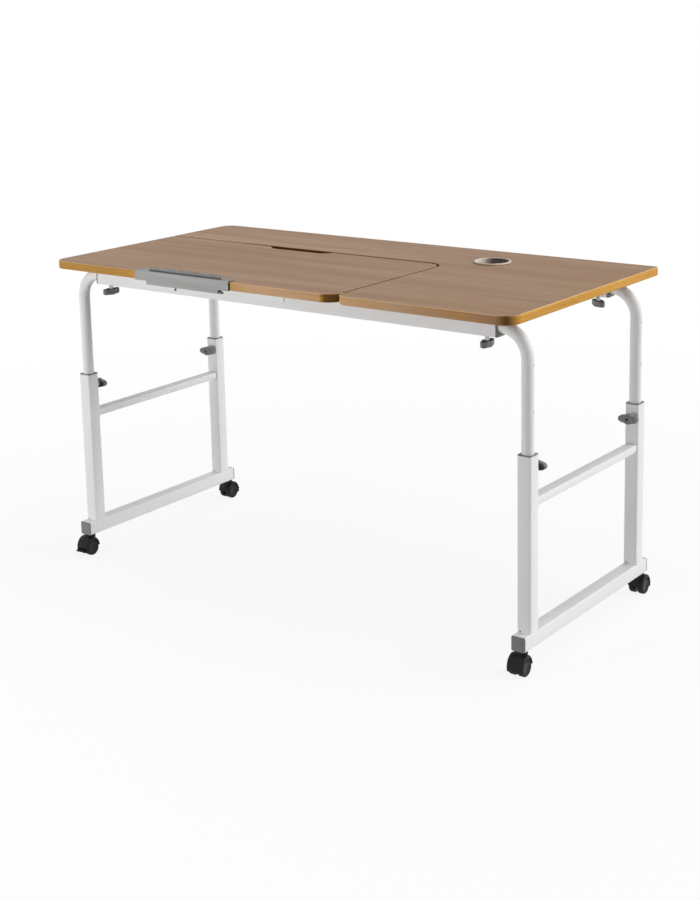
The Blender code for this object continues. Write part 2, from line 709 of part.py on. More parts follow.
# Prop: a closed loop of wire that hangs from the panel and slides along the two support rails
pivot = (PANEL_MIDDLE, HINGE_Y + PROP_ARM, HINGE_Z)
bend = 0.010
loop = outline(
    [
        (-PROP_HALF, 0, bend),
        (PROP_HALF, 0, bend),
        (PROP_HALF, PROP_ARM, bend),
        (-PROP_HALF, PROP_ARM, bend),
    ],
    3,
)
mesh = wire("prop_stay", [(p.x, p.y, 0.0) for p in loop], PROP_WIRE, True, 2)
node("prop_stay", mesh, ZINC, pivot, parent=TILT)

# Bracket under the panel with two eyes for the prop
seat = HINGE_DROP - GAP
strap = block("prop_bracket", (-BRACKET_HALF, -0.012, seat - 0.002), (BRACKET_HALF, 0.012, seat))
bracket = node("prop_bracket", strap, ZINC, pivot, parent=TILT)
for side, word in SIDES:
    eye = block(word + "_eye", (-0.007, -0.0065, -0.0060), (0.007, 0.0065, seat - 0.001))
    join(bracket, tool(word + "_eye", eye, Vector(pivot) + Vector((side * EYE_HALF, 0, 0))))
bore = rod("eye_bore", PROP_WIRE + 2 * PLAY, -BRACKET_HALF, BRACKET_HALF, 14, "X")
cut(bracket, tool("eye_bore", bore, pivot))

# Support rails between the aprons, notched for the prop and raised under the panel's rear edge
inside = LEG_Y - APRON_WIDTH / 2 - GAP
foot = RAIL_TOP - RAIL_HEIGHT
step = HINGE_Y + 2 * PROP_ARM + PROP_WIRE / 2 + 0.002
profile = [(-inside, foot), (inside, foot), (inside, APRON_TOP), (step, APRON_TOP), (step, RAIL_TOP)]
for angle in RACK_ANGLES:
    notch = HINGE_Y + 2 * PROP_ARM * math.cos(math.radians(angle))
    profile.append((notch + 0.0055, RAIL_TOP))
    profile.append((notch + 0.0025, RAIL_TOP - 0.003))
    profile.append((notch - 0.0025, RAIL_TOP - 0.003))
    profile.append((notch - 0.0035, RAIL_TOP))
profile.append((-inside, RAIL_TOP))
for side, word in SIDES:
    name = word + "_support_rail"
    mesh = bar(name, profile, RAIL_WIDTH, PANEL_MIDDLE + side * RAIL_HALF)
    node(name, mesh, WHITE, parent=ROOT)

# Book stop: a folded guide on the panel's front edge and a lip that slides up through it
front = FRONT - GAP - PLATE
level = TOP_HEIGHT + GAP
skirt = UNDER - 0.0015
profile = [
    (front, skirt),
    (front + PLATE, skirt),
    (front + PLATE, level),
    (slot_back + 0.003, level),
    (slot_back + 0.003, level + PLATE),
    (front, level + PLATE),
]
guide = node("stop_guide", bar("stop_guide", profile, STOP_LENGTH, STOP_MIDDLE), ZINC, parent=TILT)
lip_front = FRONT + LIP_BACK
half = LIP_LENGTH / 2 + 0.002
low = (STOP_MIDDLE - half, lip_front - 0.0008, level - 0.005)
high = (STOP_MIDDLE + half, lip_front + PLATE + 0.0008, level + 0.01)
cut(guide, tool("lip_slot", block("lip_slot", low, high)))
bottom = UNDER - FLAP_DROP
top = TOP_HEIGHT + LIP_RISE
profile = [
    (front, bottom),
    (lip_front + PLATE, bottom),
    (lip_front + PLATE, top),
    (lip_front, top),
    (lip_front, bottom + PLATE),
    (front + PLATE, bottom + PLATE),
    (front + PLATE, skirt - 0.0005),
    (front, skirt - 0.0005),
]
node("stop_slide", bar("stop_slide", profile, LIP_LENGTH, STOP_MIDDLE), ZINC, parent=TILT)
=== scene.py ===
import json
import math

import bmesh
import bpy
from bpy.props import FloatProperty, FloatVectorProperty, PointerProperty
from bpy.types import Operator, Panel, PropertyGroup
from mathutils import Matrix, Vector


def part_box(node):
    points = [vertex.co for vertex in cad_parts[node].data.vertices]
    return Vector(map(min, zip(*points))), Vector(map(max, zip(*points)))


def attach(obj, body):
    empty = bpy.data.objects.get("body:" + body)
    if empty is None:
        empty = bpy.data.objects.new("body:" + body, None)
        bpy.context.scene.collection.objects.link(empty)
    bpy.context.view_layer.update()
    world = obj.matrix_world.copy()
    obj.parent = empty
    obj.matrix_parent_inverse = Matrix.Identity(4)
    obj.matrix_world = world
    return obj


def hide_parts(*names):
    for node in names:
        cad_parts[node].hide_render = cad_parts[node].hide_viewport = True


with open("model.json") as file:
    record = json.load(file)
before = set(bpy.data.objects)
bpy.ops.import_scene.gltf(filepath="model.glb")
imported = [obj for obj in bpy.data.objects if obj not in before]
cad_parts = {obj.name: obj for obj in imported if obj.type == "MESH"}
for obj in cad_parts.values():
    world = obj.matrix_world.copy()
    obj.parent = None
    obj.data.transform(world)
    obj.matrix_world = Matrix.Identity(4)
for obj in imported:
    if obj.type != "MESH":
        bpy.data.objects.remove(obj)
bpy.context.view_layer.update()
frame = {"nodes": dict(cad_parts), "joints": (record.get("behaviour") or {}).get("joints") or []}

bl_info = {
    "name": "Mobile computer desk looks",
    "version": (1, 0, 0),
    "blender": (4, 5, 0),
    "location": "3D View > Sidebar > Desk",
    "description": "Dresses the packed desk with boards, tubes, plastics, hardware, finishes and a studio",
    "category": "Object",
}

SIDES = ((-1, "left"), (1, "right"))
ENDS = ((-1, "front"), (1, "rear"))
CORNERS = [(f"{end_word}_{word}", word, side, end) for end, end_word in ENDS for side, word in SIDES]
JOINTS = {joint["name"]: Vector(joint["pos_m"]) for joint in frame["joints"] if "pos_m" in joint}
DOWN = (0, 0, -1)
SHARP = 38.0

# Matrices that lay Z along X or Y, and the two axes that a bar's width and height then follow
SIDEWAYS = Matrix(((0, 0, 1, 0), (1, 0, 0, 0), (0, 1, 0, 0), (0, 0, 0, 1)))
LENGTHWAYS = Matrix(((0, 1, 0, 0), (0, 0, 1, 0), (1, 0, 0, 0), (0, 0, 0, 1)))
BAR_TURNS = ((SIDEWAYS, 1, 2), (LENGTHWAYS, 2, 0), (Matrix.Identity(4), 0, 1))

# Where the seams between the two boards run
RIGHT_SEAM_X = 0.1978
REAR_SEAM_Y = 0.098


def length(name, default, description):
    """A length property in metres."""
    settings = {"min": 0.0, "precision": 5, "unit": "LENGTH", "subtype": "DISTANCE"}
    return FloatProperty(name=name, description=description, default=default, **settings)


def angle(name, default, description):
    """An angle property in radians."""
    return FloatProperty(name=name, description=description, default=default, subtype="ANGLE")


def colour(name, default, description):
    """A colour property, linear."""
    return FloatVectorProperty(
        name=name, description=description, default=default, size=3, min=0.0, max=1.0, subtype="COLOR"
    )


def number(name, default, description, high=1.0):
    """A plain number property, zero at least."""
    return FloatProperty(name=name, description=description, default=default, min=0.0, max=high)


class DeskSizes(PropertyGroup):
    """Lengths of the details that the looks add to the solids."""

    arris: length("Board arris", 0.0016, "Rounding along the edges of the boards")
    board_step: length("Board step", 0.0003, "How much lower the tilting board lies than the fixed one")
    seam_trim: length("Seam trim", 0.0018, "How much the tilting board is cut back along the seam")
    panel_corner: length("Tilting board corner", 0.036, "Rounding of the tilting board's free front corner")
    fixed_corner: length("Fixed board corner", 0.024, "Rounding of the fixed board's corner beside it")
    rear_corner: length("Rear right corner", 0.009, "Rounding of the fixed board's rear right corner")
    tube_bend: length("Tube bend", 0.058, "Bend radius of the round tubes at their middle line")
    tube_hole: length("Index hole", 0.0028, "Width of the index holes in the round tubes")
    hole_drop: length("Index hole drop", 0.0662, "Height of the arms' middle line above the first index hole")
    hole_pitch: length("Index hole pitch", 0.090, "Distance between index holes")
    hole_turn: angle("Index hole turn", 0.0, "How far the index holes are turned to the front")
    tube_corner: length("Square tube corner", 0.0026, "Corner rounding of the square tubes")
    weld: length("Weld bead", 0.0007, "Half width of the weld beads on the leg frames")
    drain_hole: length("Drain hole", 0.0030, "Width of the drain hole low on each post")
    collar_lip: length("Post collar lip", 0.0018, "Thickness of the plastic lip on the posts")
    beam_lip: length("Beam collar lip", 0.003, "Thickness of the plastic lip at the ends of the beams")
    cap_lip: length("End cap lip", 0.003, "Thickness of the end caps of the foot beams")
    collar_bore: length("Collar bore", 0.0259, "Bore of the plastic collars")
    ring_wall: length("Cup ring wall", 0.0048, "Width of the cup ring's rim")
    knob_length: length("Knob length", 0.044, "Span of the two wings of a knob")
    knob_width: length("Knob width", 0.017, "Width of a wing")
    knob_hub: length("Knob hub", 0.022, "Width of a knob at its hub")
    knob_thick: length("Knob thickness", 0.013, "Thickness of the wings")
    knob_collar: length("Knob collar", 0.0105, "Height of the collar between the tube and the wings")
    knob_wall: length("Knob wall", 0.0019, "Wall round the hollow of the wings")
    hood_rounding: length("Hood rounding", 0.0022, "Rounding along the sides of the caster hoods")
    stop_trim: length("Stop trim", 0.004, "How much of the book stop's right end is cut back")
    plate: length("Sheet", 0.0015, "Thickness of the book stop's sheet steel")
    fold: length("Fold", 0.0022, "Outer radius of the folds in the book stop")


class DeskColours(PropertyGroup):
    """Base colours of the finishes, linear."""

    laminate_dark: colour("Laminate, dark", (0.262, 0.146, 0.076), "Dark streaks of the wood laminate")
    laminate_light: colour("Laminate, light", (0.395, 0.235, 0.132), "Light ground of the wood laminate")
    band_deep: colour("Edge band, deep", (0.515, 0.244, 0.046), "Deep streaks of the edge band")
    band_bright: colour("Edge band, bright", (0.815, 0.438, 0.096), "Bright ground of the edge band")
    band_pale: colour("Edge band, pale", (0.740, 0.480, 0.300), "Faded stretch of the edge band in front")
    band_brown: colour("Edge band, brown", (0.370, 0.214, 0.124), "Edge band towards the right front corner")
    band_dark: colour("Edge band, dark", (0.100, 0.046, 0.013), "Edge band at its bends and in the seams")
    powder: colour("Powder coat", (0.870, 0.872, 0.870), "White powder coat of the steel frame")
    grey: colour("Grey plastic", (0.206, 0.209, 0.204), "Knobs, collars and end caps")
    black: colour("Black plastic", (0.010, 0.010, 0.011), "Caster hoods and wheel bodies")
    tread: colour("Wheel tread", (0.014, 0.014, 0.015), "Soft tread of the wheels")
    zinc: colour("Zinc plate", (0.395, 0.397, 0.388), "Sheet steel of the book stop and hinge")
    lip: colour("Ledge lip", (0.320, 0.318, 0.312), "Grip strip on the lip of the book stop")
    steel: colour("Screw steel", (0.520, 0.515, 0.500), "Screws, pins and axles")
    cream: colour("Cream plastic", (0.760, 0.680, 0.575), "Cup ring")
    hollow: colour("Tube inside", (0.420, 0.416, 0.410), "Bare steel inside drilled holes")
    floor: colour("Floor", (0.500, 0.500, 0.500), "Studio floor as it throws light back")


class DeskStage(PropertyGroup):
    """Camera and light of the studio."""

    lens: FloatProperty(
        name="Lens",
        description="Focal length in millimetres",
        default=62.5845,
        min=1.0,
        subtype="DISTANCE_CAMERA",
    )
    shift: FloatProperty(name="Shift", description="Vertical lens shift", default=-0.1738)
    azimuth: angle("Azimuth", 0.6480048, "Turn of the camera round the desk")
    elevation: angle("Elevation", 0.1944504, "Tilt of the camera")
    roll: angle("Roll", -0.0218301, "Roll of the camera")
    place: FloatVectorProperty(
        name="Camera place",
        description="Where the camera stands",
        default=(2.031569, -2.668679, 1.302983),
        unit="LENGTH",
    )
    key: number("Key light", 1.96, "Strength of the low broad light from the rear right", 20.0)
    side: number("Side light", 0.66, "Strength of the light from the upper right", 20.0)
    top: number("Top light", 1.00, "Strength of the light from above", 20.0)
    fill: number("Fill light", 39.0, "Power of the lamp at the front left, in watts", 500.0)
    sky: number("Room light", 0.12, "Strength of the even light of the room")
    shadow: number("Floor shadow", 0.12, "Share of the floor's own shading that the camera sees")


# Node trees


class Nodes:
    """Adds nodes to one tree and gives their output sockets."""

    def __init__(self, tree):
        self.tree = tree

    def feed(self, socket, value):
        """Links a socket to another, or sets it to a plain value."""
        if isinstance(value, bpy.types.NodeSocket):
            self.tree.links.new(value, socket)
        else:
            socket.default_value = value

    def add(self, kind, inputs=None, **settings):
        """A node with its fields set and its inputs fed by name or number."""
        node = self.tree.nodes.new(kind)
        for key, value in settings.items():
            setattr(node, key, value)
        for key, value in (inputs or {}).items():
            self.feed(node.inputs[key], value)
        return node.outputs

    def effect(self, node_group, **inputs):
        """A node group with values of its own."""
        return self.add("ShaderNodeGroup", inputs, node_tree=node_group)

    def mix(self, factor, first, second):
        """Two colours mixed."""
        first, second = (c if isinstance(c, bpy.types.NodeSocket) else (*c, 1.0) for c in (first, second))
        return self.add("ShaderNodeMix", {0: factor, 6: first, 7: second}, data_type="RGBA")[2]

    def vector(self, operation, first, second=(0.0, 0.0, 0.0)):
        """One step on two vectors."""
        return self.add("ShaderNodeVectorMath", {0: first, 1: second}, operation=operation)

    def stretch(self, vector, scale):
        """A vector scaled along its three axes."""
        return self.vector("MULTIPLY", vector, scale)[0]

    def split(self, vector):
        """The three parts of a vector."""
        return self.add("ShaderNodeSeparateXYZ", {0: vector})

    def noise(self, vector, scale, detail=3.0, roughness=0.5, distortion=0.0):
        """A noise value from 0 to 1."""
        inputs = {"Vector": vector, "Scale": scale, "Detail": detail, "Roughness": roughness}
        return self.add("ShaderNodeTexNoise", {**inputs, "Distortion": distortion})[0]

    def ramp(self, value, low, high, to_low=0.0, to_high=1.0):
        """A stretch of values mapped to another, clamped."""
        inputs = {"Value": value, "From Min": low, "From Max": high, "To Min": to_low, "To Max": to_high}
        return self.add("ShaderNodeMapRange", inputs)[0]

    def math(self, operation, first, second=0.0):
        """One step on two values."""
        return self.add("ShaderNodeMath", {0: first, 1: second}, operation=operation)[0]

    def times(self, first, *others):
        """The product of values."""
        for other in others:
            first = self.math("MULTIPLY", first, other)
        return first

    def most(self, first, *others):
        """The largest of values."""
        for other in others:
            first = self.math("MAXIMUM", first, other)
        return first

    def weighed(self, first, share, second):
        """Two values added, the first with a share and the second with the rest."""
        return self.math("ADD", self.times(first, share), self.times(second, 1.0 - share))

    def near(self, value, middle, far, close):
        """One where a value is close to a middle one, falling to zero at the far distance."""
        return self.ramp(self.math("ABSOLUTE", self.math("SUBTRACT", value, middle)), far, close)


GROUPS = {}


def group(name, inputs, outputs, fill):
    """A shader node group, built once, with a vector and the named values as inputs and values as outputs."""
    if name not in GROUPS:
        tree = bpy.data.node_groups.new(name, "ShaderNodeTree")
        tree.interface.new_socket(name="Vector", in_out="INPUT", socket_type="NodeSocketVector")
        for label, default in inputs.items():
            socket = tree.interface.new_socket(name=label, in_out="INPUT", socket_type="NodeSocketFloat")
            socket.default_value = default
        for label in outputs:
            tree.interface.new_socket(name=label, in_out="OUTPUT", socket_type="NodeSocketFloat")
        nodes = Nodes(tree)
        given = nodes.add("NodeGroupInput")
        sink = tree.nodes.new("NodeGroupOutput")
        for label, socket in fill(nodes, given).items():
            tree.links.new(socket, sink.inputs[label])
        GROUPS[name] = tree
    return GROUPS[name]


def wood_grain():
    """Long streaks, fine lines and pores that run along X."""

    def fill(nodes, given):
        point, fineness = given["Vector"], given["Fineness"]
        bend = nodes.noise(nodes.stretch(point, (1.6, 5.0, 5.0)), 1.0, 2.0)
        swing = nodes.add("ShaderNodeCombineXYZ", {1: nodes.times(bend, 0.030)})[0]
        bent = nodes.vector("ADD", point, swing)[0]
        broad = nodes.noise(nodes.stretch(bent, (1.1, 17.0, 17.0)), fineness, 4.0, 0.62, 0.35)
        lines = nodes.noise(nodes.stretch(bent, (3.2, 120.0, 120.0)), fineness, 3.0, 0.6)
        pores = nodes.noise(nodes.stretch(bent, (22.0, 620.0, 620.0)), fineness, 2.0)
        tone = nodes.weighed(broad, 0.62, lines)
        return {"Tone": nodes.ramp(tone, 0.33, 0.67), "Pores": nodes.ramp(pores, 0.56, 0.74)}

    return group("wood_grain", {"Fineness": 1.0}, ("Tone", "Pores"), fill)


def mottle():
    """Soft uneven patches, as a value round one half."""

    def fill(nodes, given):
        wide = nodes.noise(given["Vector"], given["Scale"], 3.0, 0.6)
        spots = nodes.noise(given["Vector"], nodes.times(given["Scale"], 9.0), 2.0)
        return {"Patches": nodes.ramp(nodes.weighed(wide, 0.7, spots), 0.35, 0.65)}

    return group("mottle", {"Scale": 6.0}, ("Patches",), fill)


def pebbled_skin():
    """The fine relief of paint or moulded plastic."""

    def fill(nodes, given):
        inputs = {"Vector": given["Vector"], "Scale": given["Scale"]}
        cells = nodes.add("ShaderNodeTexVoronoi", inputs, feature="SMOOTH_F1")[0]
        rough = nodes.noise(given["Vector"], nodes.times(given["Scale"], 0.6), 3.0, 0.55)
        return {"Height": nodes.math("ADD", nodes.times(cells, given["Cells"]), rough)}

    return group("pebbled_skin", {"Scale": 900.0, "Cells": 0.5}, ("Height",), fill)


def settled_dust():
    """A mask of dust on faces that look up, and of rubbing marks elsewhere."""

    def fill(nodes, given):
        point = given["Vector"]
        lying = nodes.ramp(nodes.split(nodes.add("ShaderNodeNewGeometry")["Normal"])[2], 0.55, 0.95)
        drift = nodes.ramp(nodes.noise(point, 24.0, 4.0, 0.65), 0.42, 0.75)
        rubs = nodes.ramp(nodes.noise(nodes.stretch(point, (9.0, 9.0, 2.5)), 6.0, 5.0, 0.7), 0.60, 0.80)
        mask = nodes.math("ADD", nodes.times(lying, drift), nodes.times(rubs, 0.35))
        return {"Mask": nodes.times(mask, given["Amount"])}

    return group("settled_dust", {"Amount": 0.2}, ("Mask",), fill)


def brushed_lines():
    """Fine drawn lines along X on sheet and bar steel."""

    def fill(nodes, given):
        point, fineness = given["Vector"], given["Fineness"]
        drawn = nodes.noise(nodes.stretch(point, (9.0, 900.0, 900.0)), fineness, 3.0, 0.6)
        broad = nodes.noise(nodes.stretch(point, (5.0, 60.0, 60.0)), fineness, 2.0)
        return {"Lines": nodes.ramp(nodes.weighed(drawn, 0.6, broad), 0.36, 0.64)}

    return group("brushed_lines", {"Fineness": 1.0}, ("Lines",), fill)


# Finishes


def scaled(base, share):
    """A colour made darker or lighter by a share."""
    return tuple(min(1.0, share * value) for value in base)


def start_finish(name, roughness, metallic=0.0, specular=0.5):
    """A new material: its nodes, the inputs of its shader and the object's own coordinates."""
    material = bpy.data.materials.new(name)
    material.use_nodes = True
    nodes = Nodes(material.node_tree)
    shader = nodes.tree.nodes["Principled BSDF"].inputs
    shader["Roughness"].default_value = roughness
    shader["Metallic"].default_value = metallic
    shader["Specular IOR Level"].default_value = specular
    return material, nodes, shader, nodes.add("ShaderNodeTexCoord")["Object"]


def end_finish(nodes, shader, tone, gloss, height, strength, distance=0.0003):
    """Feeds a finish's colour, roughness and relief to its shader."""
    nodes.feed(shader["Base Color"], tone)
    nodes.feed(shader["Roughness"], gloss)
    bump = nodes.add("ShaderNodeBump", {"Height": height, "Strength": strength, "Distance": distance})
    nodes.feed(shader["Normal"], bump[0])


def laminate_finish(colours):
    """Wood-grain laminate, satin, with the grain along the desk and a warmer tone to the right."""
    material, nodes, shader, point = start_finish("wood_laminate", 0.46, specular=0.12)
    grain = nodes.effect(wood_grain(), Vector=point, Fineness=1.0)
    ground = nodes.mix(grain["Tone"], colours.laminate_dark, colours.laminate_light)
    patches = nodes.effect(mottle(), Vector=nodes.stretch(point, (1.0, 2.2, 1.0)), Scale=3.4)["Patches"]
    rightward = nodes.ramp(nodes.split(point)[0], -0.10, 0.55, 0.0, 0.24)
    share = nodes.math("ADD", nodes.ramp(patches, 0.0, 1.0, 0.0, 0.30), rightward)
    warm = nodes.mix(share, ground, (0.355, 0.195, 0.084))
    pores = nodes.ramp(grain["Pores"], 0.0, 1.0, 0.0, 0.42)
    tone = nodes.mix(pores, warm, (0.15, 0.080, 0.040))
    gloss = nodes.ramp(grain["Tone"], 0.0, 1.0, 0.50, 0.40)
    height = nodes.math("SUBTRACT", grain["Tone"], grain["Pores"])
    end_finish(nodes, shader, tone, gloss, height, 0.10, 0.0004)
    return material


def band_finish(colours):
    """Edge band with streaks along the edge, faded in front, dark at its bends, with painted shade in the
    seams and towards the left front, a painted highlight along its upper arris and painted light on the rear
    seam towards the left.
    """
    material, nodes, shader, point = start_finish("edge_band", 0.44, specular=0.08)
    ramp, times, mix = nodes.ramp, nodes.times, nodes.mix
    streaks = nodes.noise(nodes.stretch(point, (3.5, 3.5, 240.0)), 1.0, 4.0, 0.62, 1.2)
    fine = nodes.noise(nodes.stretch(point, (60.0, 60.0, 900.0)), 1.0, 2.0)
    grain = nodes.weighed(streaks, 0.7, fine)
    tone = mix(ramp(grain, 0.34, 0.66), colours.band_deep, colours.band_bright)
    x, y, z = nodes.split(point)
    facing_x, facing_y, facing_z = nodes.split(nodes.add("ShaderNodeTexCoord")["Normal"])

    # Bends round the corners, apart from the front right one
    product = times(facing_x, facing_y)
    bent = nodes.most(times(product, -1.0), times(product, ramp(y, 0.0, 0.02)))
    bent = times(bent, ramp(x, 0.55, 0.50))

    # The front edge, faded from its middle on and brown towards the right
    front = ramp(y, -0.27, -0.292)
    patches = nodes.effect(mottle(), Vector=nodes.stretch(point, (1.0, 1.0, 4.0)), Scale=9.0)["Patches"]
    faded = times(front, ramp(x, -0.095, -0.020), ramp(patches, 0.1, 0.7, 0.6, 1.0))
    faded = times(faded, ramp(bent, 0.0, 0.12, 1.0, 0.0), ramp(x, 0.590, 0.565))
    tone = mix(faded, tone, mix(ramp(x, 0.58, 0.22), colours.band_brown, colours.band_pale))
    # Painted shade: the front edge darkens towards its left end
    tone = mix(times(front, ramp(x, -0.28, -0.42, 0.16, 0.38)), tone, (0.20, 0.12, 0.05))

    # A painted highlight along the upper arris, and the dark bend at the front right
    tone = mix(ramp(facing_z, 0.15, 0.55, 0.0, 0.7), tone, (0.80, 0.54, 0.30))
    corner = times(ramp(x, 0.562, 0.585), ramp(x, 0.604, 0.588, 0.0, 0.9), ramp(y, -0.26, -0.27))

    # The walls of the two seams, dark partly as raw board edge and partly as painted shade: the right one
    # painted dark below the top, the rear one lost towards the left by painted light
    rear = times(nodes.near(y, REAR_SEAM_Y, 0.012, 0.008), ramp(x, 0.30, 0.25, 0.0, 0.96))
    right = times(nodes.near(x, RIGHT_SEAM_X, 0.008, 0.005), ramp(y, 0.14, 0.11), ramp(y, -0.275, -0.262))
    seam = nodes.most(rear, times(right, ramp(z, 0.7149, 0.7144, 0.0, 0.9)))
    dark = nodes.most(ramp(bent, 0.05, 0.34, 0.0, 0.88), seam, corner)
    # The bends, the front right bend and the painted shade of the seams take the dark band colour
    tone = mix(dark, tone, colours.band_dark)
    # Painted light: towards the left the rear seam wall is paler, so its shade fades out
    tone = mix(times(seam, ramp(x, -0.33, -0.45)), tone, (0.52, 0.335, 0.21))
    end_finish(nodes, shader, tone, ramp(grain, 0.3, 0.7, 0.48, 0.34), grain, 0.12, 0.0004)
    return material


def powder_finish(colours):
    """White powder coat with a fine orange peel, a little dust and rubbed marks."""
    material, nodes, shader, point = start_finish("white_powder_coat", 0.36, specular=0.45)
    patches = nodes.effect(mottle(), Vector=point, Scale=7.0)["Patches"]
    coat = nodes.mix(patches, scaled(colours.powder, 0.972), colours.powder)
    dust = nodes.effect(settled_dust(), Vector=point, Amount=0.06)["Mask"]
    tone = nodes.mix(dust, coat, (0.60, 0.585, 0.555))
    gloss = nodes.math("ADD", nodes.ramp(patches, 0.0, 1.0, 0.30, 0.42), dust)
    skin = nodes.effect(pebbled_skin(), Vector=point, Scale=420.0, Cells=0.35)["Height"]
    end_finish(nodes, shader, tone, gloss, skin, 0.10)
    return material


def moulded_finish(name, base, roughness, scale, dusty, strength=0.22, specular=0.4):
    """Moulded plastic with a pebbled skin, uneven gloss, and dust on faces that look up."""
    material, nodes, shader, point = start_finish(name, roughness, specular=specular)
    patches = nodes.effect(mottle(), Vector=point, Scale=60.0)["Patches"]
    ground = nodes.mix(patches, scaled(base, 0.80), scaled(base, 1.16))
    dust = nodes.effect(settled_dust(), Vector=point, Amount=dusty)["Mask"]
    tone = nodes.mix(dust, ground, (0.42, 0.41, 0.39))
    gloss = nodes.math("ADD", nodes.ramp(patches, 0.0, 1.0, roughness + 0.07, roughness - 0.07), dust)
    skin = nodes.effect(pebbled_skin(), Vector=point, Scale=scale, Cells=0.6)["Height"]
    end_finish(nodes, shader, tone, gloss, skin, strength)
    return material


def cup_finish(colours):
    """Cream plastic with a smooth skin, with painted shade low inside on the side away from the light."""
    material, nodes, shader, point = start_finish("cream_plastic", 0.52, specular=0.1)
    patches = nodes.effect(mottle(), Vector=point, Scale=60.0)["Patches"]
    ground = nodes.mix(patches, scaled(colours.cream, 0.92), colours.cream)
    x, y, z = nodes.split(point)
    across = nodes.add("ShaderNodeCombineXYZ", {0: x, 1: y})[0]
    reach = nodes.vector("LENGTH", across)["Value"]
    toward = nodes.vector("DOT_PRODUCT", across, (0.8, 0.6, 0.0))["Value"]
    inside = nodes.times(nodes.ramp(reach, 0.0372, 0.0362), nodes.ramp(z, 0.0030, 0.0018))
    # Painted shade: the inner wall low down, on the side that faces away from the key light, is darkened
    painted_shade = nodes.times(inside, nodes.ramp(toward, -0.016, 0.004, 0.0, 0.86))
    tone = nodes.mix(painted_shade, ground, (0.060, 0.042, 0.028))
    skin = nodes.effect(pebbled_skin(), Vector=point, Scale=900.0, Cells=0.6)["Height"]
    end_finish(nodes, shader, tone, nodes.ramp(patches, 0.0, 1.0, 0.58, 0.46), skin, 0.08)
    return material


def drawn_steel_finish(name, base, roughness, fineness, painted_top_shade=0.0):
    """Plated steel with drawn lines and faint stains, and painted shade that darkens faces that lie up."""
    material, nodes, shader, point = start_finish(name, roughness, metallic=1.0)
    lines = nodes.effect(brushed_lines(), Vector=point, Fineness=fineness)["Lines"]
    patches = nodes.effect(mottle(), Vector=point, Scale=22.0)["Patches"]
    ground = nodes.mix(lines, scaled(base, 0.86), scaled(base, 1.08))
    stained = nodes.mix(nodes.ramp(patches, 0.45, 1.0, 0.0, 0.28), ground, scaled(base, 0.84))
    upward = nodes.split(nodes.add("ShaderNodeNewGeometry")["Normal"])[2]
    # Painted shade: faces that lie up are darkened by a share
    tone = nodes.mix(nodes.ramp(upward, 0.6, 0.95, 0.0, painted_top_shade), stained, scaled(base, 0.3))
    gloss = nodes.ramp(lines, 0.0, 1.0, roughness + 0.08, roughness - 0.06)
    end_finish(nodes, shader, tone, gloss, lines, 0.12, 0.0002)
    return material


MAKERS = {
    "laminate": laminate_finish,
    "band": band_finish,
    "powder": powder_finish,
    "cream": cup_finish,
    "grey": lambda colours: moulded_finish("grey_plastic", colours.grey, 0.46, 1500.0, 0.14),
    "black": lambda colours: moulded_finish("black_plastic", colours.black, 0.36, 1300.0, 0.015, 0.16, 0.2),
    "tread": lambda colours: moulded_finish("wheel_tread", colours.tread, 0.55, 1900.0, 0.02, 0.3, 0.2),
    "lip": lambda colours: moulded_finish("ledge_grip", colours.lip, 0.50, 1200.0, 0.10, 0.2),
    "hollow": lambda colours: moulded_finish("tube_inside", colours.hollow, 0.70, 800.0, 0.0),
    # The zinc sheet's upward faces get painted shade at a share of 0.7
    "zinc": lambda colours: drawn_steel_finish("zinc_sheet", colours.zinc, 0.40, 1.0, 0.7),
    "steel": lambda colours: drawn_steel_finish("screw_steel", colours.steel, 0.30, 2.5),
}
FINISHES = {}


def finish(name):
    """A finish by name, made on first use."""
    if name not in FINISHES:
        FINISHES[name] = MAKERS[name](bpy.context.scene.desk_colours)
    return FINISHES[name]


# Shapes


def at(place, degrees=0.0, axis="Z"):
    """A matrix at a place, turned about an axis."""
    return Matrix.Translation(place) @ Matrix.Rotation(math.radians(degrees), 4, axis)


def facing(place, axis):
    """A matrix at a place whose Z runs along an axis."""
    return Matrix.Translation(place) @ Vector(axis).to_track_quat("Z", "Y").to_matrix().to_4x4()


def quarter(steps):
    """Cosine and sine at even steps through a quarter turn, its two ends with them."""
    turns = [math.pi / 2 * k / steps for k in range(steps + 1)]
    return [(math.cos(turn), math.sin(turn)) for turn in turns]


def circle(radius, steps):
    """The points of a circle, counter-clockwise."""
    turns = [math.tau * k / steps for k in range(steps)]
    return [Vector((radius * math.cos(turn), radius * math.sin(turn))) for turn in turns]


def round_corner(corners, k, steps):
    """The points of a line at one of its (x, y, rounding) corners."""
    here = Vector(corners[k][:2])
    radius = corners[k][2]
    if radius <= 0:
        return [here]
    before = (Vector(corners[k - 1][:2]) - here).normalized()
    after = (Vector(corners[(k + 1) % len(corners)][:2]) - here).normalized()
    half = before.angle(after) / 2
    centre = here + (before + after).normalized() * (radius / math.sin(half))
    first, last = (here + way * (radius / math.tan(half)) - centre for way in (before, after))
    bend = first.angle_signed(last)
    return [centre + Matrix.Rotation(-bend * s / steps, 2) @ first for s in range(steps + 1)]


def corner_outline(corners, steps=5):
    """The points of a line through (x, y, rounding) corners. An open line has no rounding at its ends."""
    return [point for k in range(len(corners)) for point in round_corner(corners, k, steps)]


def rectangle(width, height, rounding, steps=4):
    """A rounded rectangle round the origin."""
    x = width / 2
    y = height / 2
    return corner_outline([(x, -y, rounding), (x, y, rounding), (-x, y, rounding), (-x, -y, rounding)], steps)


